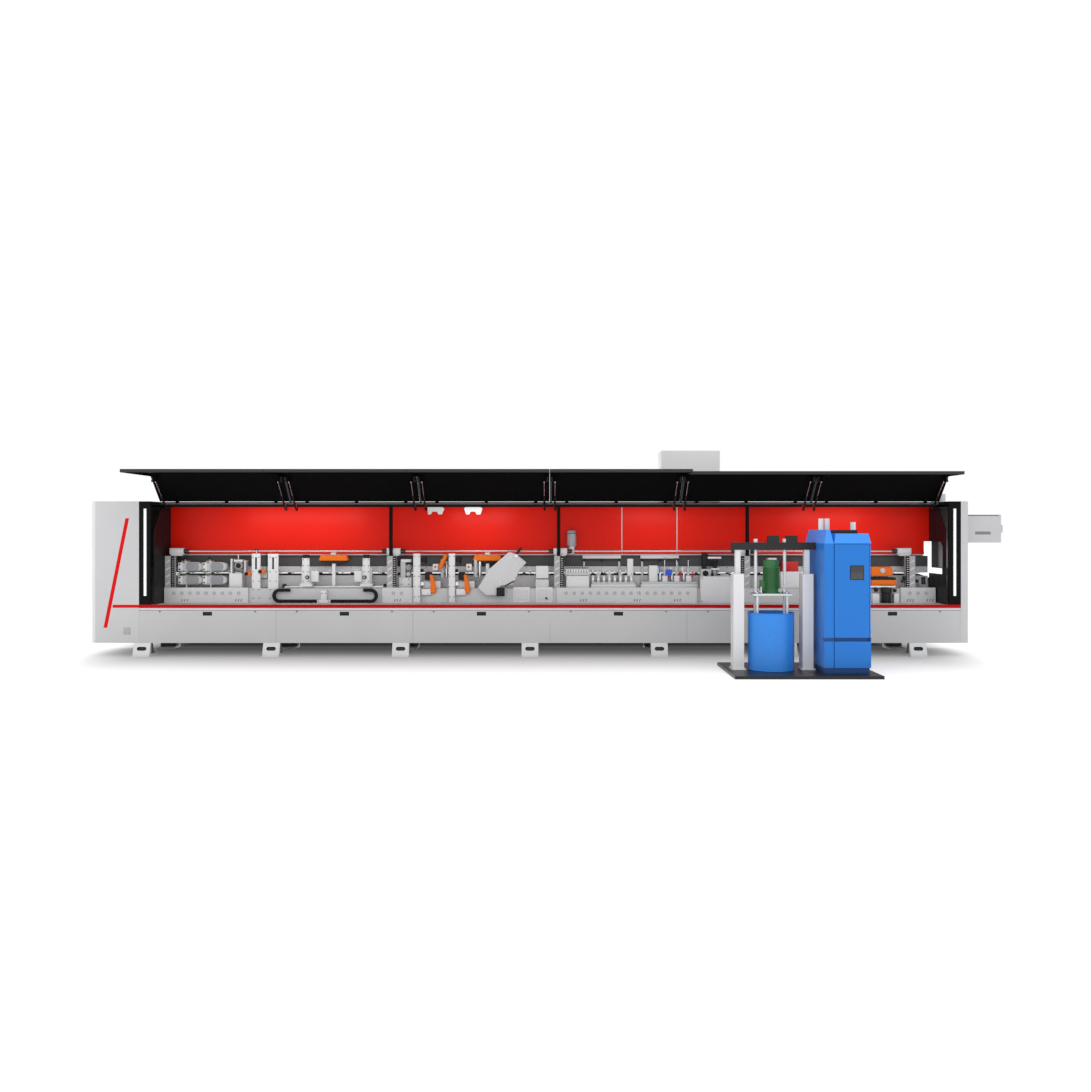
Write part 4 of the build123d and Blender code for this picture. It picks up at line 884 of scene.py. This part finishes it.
# ------------------------------------------------------------------ cable chains
# Plastic energy chains feed the carriages. Short links with a raised rib fold back in a half loop.
chain_plastic = moulded("chain_plastic", (0.012, 0.012, 0.013), 0.5)
bits = []
for middle, lower_end, upper_end, out in ((-2.934, -2.494, -2.809, -1), (-1.868, -2.336, -1.957, 1)):
    for start, end, z in ((middle, lower_end, 0.608), (middle, upper_end, 0.737)):
        count = max(1, int(abs(end - start) / 0.031))
        step = (end - start) / count
        for index in range(count):
            a, b = sorted((start + step * index + step * 0.04, start + step * (index + 1) - step * 0.04))
            bits.append(block((a, 0.288, z - 0.018), (b, 0.326, z + 0.018), chain_plastic, 0.003))
    for index in range(8):
        angle = math.radians(-78 + 156 / 7 * index)
        x = middle + out * 0.0645 * math.cos(angle)
        z = 0.6725 + 0.0645 * math.sin(angle)
        lobe = block((-0.0155, 0.288, -0.018), (0.0155, 0.326, 0.018), chain_plastic, 0.003)
        lobe.location = (x, 0.307, z)
        lobe.rotation_euler = (0, out * (math.pi / 2 - angle), 0)
        bits.append(lobe)
mounted("energy_chains", bits, "machine", ["cable_chains"])

# ------------------------------------------------------------------ corner rounding unit
# A large milled plate leans over the track and carries the rounding head on its back.
corner = [
    (-0.612, 0.766), (-0.477, 0.987), (-0.249, 1.185), (-0.168, 1.160), (-0.045, 1.061),
    (-0.119, 0.987), (-0.206, 0.802), (-0.353, 0.790), (-0.353, 0.680), (-0.520, 0.680),
]
arm_paint = enamel("arm_paint", (0.58, 0.58, 0.59), rough=0.35)
bits = [
    plate(corner, "Y", 0.268, 0.284, arm_paint, 0.004),
    block((-0.43, 0.284, 0.85), (-0.25, 0.33, 1.0), cast, 0.006),
    block((-0.395, 0.236, 0.668), (-0.300, 0.267, 0.770), dark, 0.008),
    turned((-0.30, 0.255, 0.785), (-0.19, 0.255, 0.845), 0.007, dark, 0.002, 12),
    turned((-0.165, 0.25, 1.16), (-0.105, 0.25, 1.235), 0.014, dark, 0.004, 16),
    turned((-0.165, 0.25, 1.14), (-0.165, 0.285, 1.14), 0.022, chrome, 0.004, 20),
    block((-0.475, 0.284, 0.98), (-0.42, 0.34, 1.03), dark, 0.006),
]
bits += fasteners(
    [(-0.48, 0.90), (-0.40, 0.88), (-0.30, 1.05), (-0.22, 1.12), (-0.16, 1.04), (-0.36, 0.84)],
    0.268, 0.007, chrome,
)
mounted("corner_rounding_arm", bits, "machine", ["corner_rounding_unit"])

# ------------------------------------------------------------------ pneumatics and lamps
# Valves, regulators and the air lubricator sit behind the fairing. White brackets under the
# hinge rail hold the inspection lamps.
glass = Finish("bowl_plastic")
glass.surface(
    Base_Color=glass.mix(glass.noise(30.0), (0.26, 0.27, 0.28), (0.36, 0.37, 0.38)),
    Roughness=glass.noise(50.0) * 0.1 + 0.12,
    Coat_Weight=0.5,
)
blue_plastic = moulded("fitting_blue", (0.02, 0.08, 0.62), 0.4)
bits = [
    block((0.059, 0.36, 0.756), (0.214, 0.47, 0.86), fairing_paint, 0.006),
    block((0.062, 0.362, 0.872), (0.211, 0.468, 1.018), unit_white, 0.008),
    block((0.42, 0.37, 0.756), (0.69, 0.48, 0.90), unit_white, 0.005),
    block((0.40, 0.38, 0.905), (0.70, 0.47, 0.935), cast, 0.004),
    block((0.44, 0.545, 1.24), (0.53, 0.5695, 1.42), unit_white, 0.004),
    turned((0.485, 0.50, 1.154), (0.485, 0.50, 1.25), 0.034, unit_white, 0.006),
    turned((0.485, 0.50, 1.25), (0.485, 0.50, 1.40), 0.056, glass.material, 0.01),
    turned((0.485, 0.50, 1.40), (0.485, 0.50, 1.435), 0.050, cast_cap, 0.014),
]
for index in range(9):
    x = 0.425 + 0.031 * index
    bits += [
        block((x - 0.011, 0.385, 0.935), (x + 0.011, 0.45, 0.985), unit_white, 0.003),
        turned((x, 0.395, 0.985), (x, 0.395, 1.003), 0.005, dark, 0.001, 10),
        turned((x, 0.372, 0.88), (x, 0.362, 0.88), 0.006, chrome, 0.001, 10),
    ]
for outline in (
    [(-1.228, 1.69), (-1.205, 1.7085), (-1.033, 1.7085), (-1.010, 1.69), (-1.036, 1.623),
     (-1.078, 1.623), (-1.095, 1.655), (-1.150, 1.655), (-1.166, 1.623), (-1.200, 1.623)],
    [(-0.779, 1.69), (-0.760, 1.7085), (-0.585, 1.7085), (-0.562, 1.69), (-0.588, 1.623),
     (-0.630, 1.623), (-0.647, 1.655), (-0.702, 1.655), (-0.718, 1.623), (-0.752, 1.623)],
):
    bits.append(plate([(max(x, -1.206), z) for x, z in outline], "Y", 0.327, 0.331, unit_white, 0.001))
mounted("air_supply", bits, "machine", ["bay_fittings"])

# ------------------------------------------------------------------ press zone
# Press rollers on spindles, a tape guillotine and the brush bars over the track.
bristles = moulded("bristles", (0.05, 0.05, 0.05), 0.8, 900.0)
red_plastic = moulded("fitting_red", (0.55, 0.01, 0.01), 0.4)
bits = [
    block((0.71, 0.40, 0.756), (1.24, 0.54, 0.80), unit_white, 0.005),
    block((0.72, 0.41, 0.80), (1.23, 0.53, 0.825), cast, 0.003),
    block((1.30, 0.42, 0.756), (1.98, 0.54, 0.80), unit_white, 0.005),
    block((1.31, 0.43, 0.80), (1.97, 0.53, 0.83), cast, 0.003),
    block((1.40, 0.43, 0.83), (1.50, 0.54, 1.02), unit_white, 0.006),
    block((1.598, 0.41, 0.905), (1.666, 0.45, 0.973), blue_plastic, 0.004),
    block((1.515, 0.43, 0.90), (1.528, 0.47, 1.03), blue_plastic, 0.003),
    block((1.142, 0.42, 0.90), (1.21, 0.46, 1.10), unit_white, 0.004),
    block((2.80, 0.40, 0.756), (2.90, 0.56, 1.11), unit_white, 0.005),
    block((2.95, 0.40, 0.756), (3.20, 0.56, 0.95), unit_white, 0.006),
    block((2.97, 0.41, 0.95), (3.16, 0.55, 1.07), red_plastic, 0.01),
]
for index, x in enumerate((0.735, 0.80, 0.865, 0.93, 0.995, 1.06, 1.125, 1.19)):
    bits += [
        turned((x, 0.44, 0.825), (x, 0.44, 0.905), 0.017, unit_white, 0.003, 20),
        turned((x, 0.44, 0.905), (x, 0.44, 0.93), 0.024, cast if index % 2 else dark, 0.004, 20),
        turned((x, 0.44, 0.93), (x, 0.44, 0.965), 0.010, chrome, 0.002, 14),
        turned((x, 0.405, 0.86), (x, 0.395, 0.86), 0.012, chrome, 0.002, 14),
    ]
for x in (1.587, 1.727, 1.867):
    bits += [
        block((x - 0.032, 0.43, 0.83), (x + 0.032, 0.53, 0.90), unit_white, 0.005),
        turned((x, 0.47, 0.90), (x, 0.47, 1.0), 0.020, cast, 0.003, 20),
        turned((x, 0.47, 1.0), (x, 0.47, 1.095), 0.006, chrome, 0.001, 12),
        *knob(x, 0.47, 1.095, 0.011, dark, 0.01),
        turned((x - 0.055, 0.44, 0.84), (x - 0.055, 0.44, 0.94), 0.014, chrome, 0.003, 16),
        block((x + 0.04, 0.43, 0.875), (x + 0.052, 0.46, 0.945), red_plastic, 0.002),
        block((x - 0.082, 0.435, 0.93), (x - 0.062, 0.46, 1.0), unit_white, 0.003),
    ]
for low, high in ((0.616, 1.074), (1.307, 1.766)):
    bits.append(block((low, 0.545, 1.10), (high, 0.557, 1.138), unit_white, 0.003))
    bits.append(block((low + 0.01, 0.547, 1.082), (high - 0.01, 0.555, 1.101), bristles, 0.002))
    for x in (low + 0.02, (low + high) / 2, high - 0.02):
        bits.append(block((x - 0.012, 0.543, 1.065), (x + 0.012, 0.56, 1.10), dark, 0.004))
    for x in (low + 0.02, high - 0.02):
        bits.append(block((x - 0.012, 0.557, 0.756), (x + 0.012, 0.569, 1.08), cast, 0.002))
mounted("press_heads", bits, "machine", ["press_zone"])

# ------------------------------------------------------------------ glue unit
# The tape feed head stands over the glue cabinet. Its roller brings glue to the board's edge.
bits = [
    block((1.983, 0.262, 0.5885), (2.372, 0.3497, 0.900), fairing_paint, 0.006),
    block((2.01, 0.40, 0.756), (2.13, 0.56, 0.98), cast, 0.006),
    block((2.03, 0.41, 0.98), (2.075, 0.52, 1.17), dark, 0.005),
    block((2.075, 0.43, 1.06), (2.22, 0.50, 1.10), dark, 0.006),
    block((2.09, 0.42, 1.10), (2.25, 0.47, 1.125), unit_white, 0.004),
    turned((2.105, 0.45, 1.125), (2.06, 0.45, 1.172), 0.010, dark, 0.003, 14),
    turned((2.06, 0.385, 0.93), (2.06, 0.42, 0.93), 0.034, dark, 0.005, 24),
    turned((2.14, 0.385, 0.915), (2.14, 0.42, 0.915), 0.018, dark, 0.004, 20),
    block((2.13, 0.44, 0.756), (2.24, 0.572, 0.84), cast, 0.005),
    block((2.13, 0.44, 0.965), (2.24, 0.572, 0.99), unit_white, 0.005),
    turned((2.18, 0.46, 0.99), (2.18, 0.46, 1.06), 0.026, dark, 0.005, 24),
    block((2.245, 0.42, 0.90), (2.34, 0.47, 0.915), unit_white, 0.003),
]
bits += fasteners([(2.0, 0.61), (2.355, 0.61), (2.0, 0.88), (2.355, 0.88)], 0.262)
mounted("glue_station", bits, "machine", ["glue_unit"])
wear("glue_roller", steel("roller_steel", (0.55, 0.54, 0.52), 0.3, (60.0, 60.0, 1.0)))

# ------------------------------------------------------------------ pre-milling unit
# Upright cutter motors on a cross slide at the infeed, black castings between steel plates.
black_cast = enamel("black_casting", (0.018, 0.018, 0.02), rough=0.45, peel=0.6)
bits = [
    block((3.93, 0.44, 0.756), (4.29, 0.56, 0.80), black_cast, 0.006),
    block((3.95, 0.30, 0.765), (4.27, 0.44, 0.79), rail_steel, 0.004),
    turned((4.155, 0.288, 0.5885), (4.155, 0.288, 0.60), 0.062, black_cast, 0.004),
    turned((4.155, 0.288, 0.60), (4.155, 0.288, 0.70), 0.050, black_cast, 0.008),
    turned((4.155, 0.288, 0.70), (4.155, 0.288, 0.758), 0.060, black_cast, 0.008),
    block((3.99, 0.27, 0.5885), (4.07, 0.349, 0.70), unit_white, 0.005),
    block((4.24, 0.27, 0.5885), (4.30, 0.349, 0.70), unit_white, 0.005),
    turned((4.03, 0.255, 0.74), (4.03, 0.30, 0.74), 0.022, dark, 0.005, 20),
    turned((4.25, 0.255, 0.735), (4.25, 0.30, 0.735), 0.020, dark, 0.005, 20),
    block((4.36, 0.36, 0.82), (4.56, 0.40, 0.86), black_cast, 0.006),
    turned((4.40, 0.37, 0.86), (4.40, 0.37, 0.90), 0.030, black_cast, 0.006, 24),
    turned((4.62, 0.38, 0.80), (4.62, 0.38, 0.89), 0.024, black_cast, 0.006, 24),
]
for index in range(6):
    z = 0.606 + 0.016 * index
    bits.append(turned((4.155, 0.288, z), (4.155, 0.288, z + 0.005), 0.056, black_cast, 0.001, 32))
mounted("premill_station", bits, "machine", ["premill_unit"])
cutter_steel = steel("cutter_steel", (0.42, 0.42, 0.43), 0.3, (60.0, 60.0, 1.0))
wear("premill_cutter_1", cutter_steel)
wear("premill_cutter_2", cutter_steel)

# ------------------------------------------------------------------ console
# The control console swivels on the tower's bracket, its screen towards the operator's side.
console_paint = enamel("console_paint", (0.50, 0.50, 0.515))
wear("control_console", console_paint)
screen = Finish("screen_glass")
screen.surface(
    Base_Color=screen.mix(screen.noise(2.0), (0.010, 0.012, 0.016), (0.018, 0.020, 0.026)),
    Roughness=screen.noise(15.0) * 0.06 + 0.06,
    Coat_Weight=0.6,
)
bits = [
    block((5.12, 0.362, 1.36), (5.46, 0.366, 1.59), screen.material, 0.002),
    block((5.10, 0.305, 1.605), (5.48, 0.3085, 1.612), dark, 0.001),
]
bits.append(turned((5.15, 0.362, 1.325), (5.15, 0.374, 1.325), 0.014, red_plastic, 0.003, 20))
for index in range(4):
    x = 5.22 + 0.06 * index
    bits.append(turned((x, 0.362, 1.325), (x, 0.369, 1.325), 0.010, dark, 0.002, 16))
bits.append(block((5.20, 0.3055, 1.39), (5.38, 0.3085, 1.40), dark, 0.0005))
bits.append(block((5.20, 0.3055, 1.41), (5.38, 0.3085, 1.42), dark, 0.0005))
mounted("console_panel", bits, "console_body")

# ------------------------------------------------------------------ glue drum station
# A chequered floor plate, two off-white columns, a black cross beam and the blue glue drum.
blue = (0.013, 0.160, 0.545)
black_plate = (0.014, 0.014, 0.015)
wear("drum_press_frame", enamel("column_paint", (0.66, 0.66, 0.675), rough=0.35, areas=(
    (lambda finish: finish.z < 0.0315, black_plate),
)))


def lift_bars(finish):
    rods = (finish.z > 0.80) * (finish.z < 1.24)
    follower = finish.z < 0.7999
    caps = (finish.z > 1.3142) * ((finish.x < 2.36) + finish.x.between(2.58, 2.616))
    return (rods + follower + caps) > 0.5


wear("follower_lift", enamel("lift_paint", (0.014, 0.014, 0.016), rough=0.4, areas=(
    (lift_bars, (0.62, 0.63, 0.65)),
)))
wear("follower_motor", enamel("motor_paint", (0.030, 0.125, 0.040), rough=0.36, gloss=0.3))
wear("glue_drum", enamel("drum_paint", (0.03, 0.22, 0.68), rough=0.3, gloss=0.3))

# A folded rim closes the drum's top, and a rolled seam joins its bottom.
drum_x, drum_y, drum_radius = 2.464, -1.334, 0.231
drum_paint = nodes["glue_drum"].data.materials[0]
bits = []
for z in (0.603, 0.036):
    bpy.ops.mesh.primitive_torus_add(
        location=(drum_x, drum_y, z), major_radius=drum_radius, minor_radius=0.005,
        major_segments=96, minor_segments=10,
    )
    hoop = bpy.context.object
    hoop.data.materials.append(drum_paint)
    bits.append(hoop)
mounted("drum_hoops", bits, "machine")

# Cooling ribs, fan cowl and terminal box of the pump motor.
motor_green = nodes["follower_motor"].data.materials[0]
bits = []
rib_count = 28
for index in range(rib_count):
    angle = 2 * math.pi * index / rib_count
    rib = block((-0.0022, 0.0715, 0.84), (0.0022, 0.081, 1.06), motor_green, 0.001)
    centre = rib.location.copy()
    rib.location = (
        drum_x - centre.y * math.sin(angle),
        drum_y + centre.y * math.cos(angle),
        centre.z,
    )
    rib.rotation_euler = (0, 0, angle)
    bits.append(rib)
bits.append(turned((drum_x, drum_y, 1.075), (drum_x, drum_y, 1.138), 0.078, motor_green, 0.012))
box_low, box_high = (drum_x - 0.112, drum_y - 0.04, 0.83), (drum_x - 0.07, drum_y + 0.04, 0.93)
bits.append(block(box_low, box_high, motor_green, 0.006))
mounted("pump_motor_ribs", bits, "follower_body")

# Small collars and nuts where the hanging rods meet the plate and the follower.
plate_top = 0.80
bits = []
for x in (2.311, 2.604):
    bits.append(turned((x, -1.325, plate_top), (x, -1.325, 0.822), 0.026, chrome, 0.003, 24))
for x in (drum_x - 0.15, drum_x + 0.15):
    for y in (drum_y - 0.07, drum_y + 0.07):
        bits.append(turned((x, y, plate_top), (x, y, 0.815), 0.018, chrome, 0.002, 6))
stud_y = drum_y - 0.075
for x in (2.35, 2.58):
    bits.append(turned((x, stud_y, plate_top), (x, stud_y, 0.87), 0.008, chrome, 0.002, 16))
mounted("follower_collars", bits, "follower_body")

# ------------------------------------------------------------------ melter cabinet
# Blue sheet cabinet in two bevelled halves; the right half is the door with a dark display.
# The folds of the top are painted paler as a highlight, and the groove under the door and the
# foot are painted darker as shade. A black lid closes the filling hole on top.
top_highlight_blue = (0.045, 0.26, 0.78)
shaded_blue = (0.008, 0.055, 0.20)


def filling_lid(finish):
    return finish.z.between(1.4052, 1.4402) * finish.x.between(3.03, 3.28) * (finish.y < -1.39)


# painted shade on the foot and in the groove under the door; painted highlight on the top folds
wear("melter_cabinet", enamel("melter_paint", blue, rough=0.34, gloss=0.25, areas=(
    (lambda finish: finish.z < 0.0868, shaded_blue),
    (lambda finish: finish.z.between(0.3465, 0.3835) * (finish.y < -1.62), shaded_blue),
    (lambda finish: finish.z > 1.3075, top_highlight_blue),
    (lambda finish: finish.z > 1.4412, (0.66, 0.66, 0.67)),
    (filling_lid, black_plate),
)))
wear("melter_door", enamel("melter_door_paint", blue, rough=0.34, gloss=0.25, areas=(
    (lambda finish: finish.y < -1.6846, (0.012, 0.014, 0.018)),
)))
display = block((3.172, -1.6885, 0.957), (3.295, -1.6858, 1.085), screen.material, 0.001)
mounted("melter_display", [display], "melter_door_body")
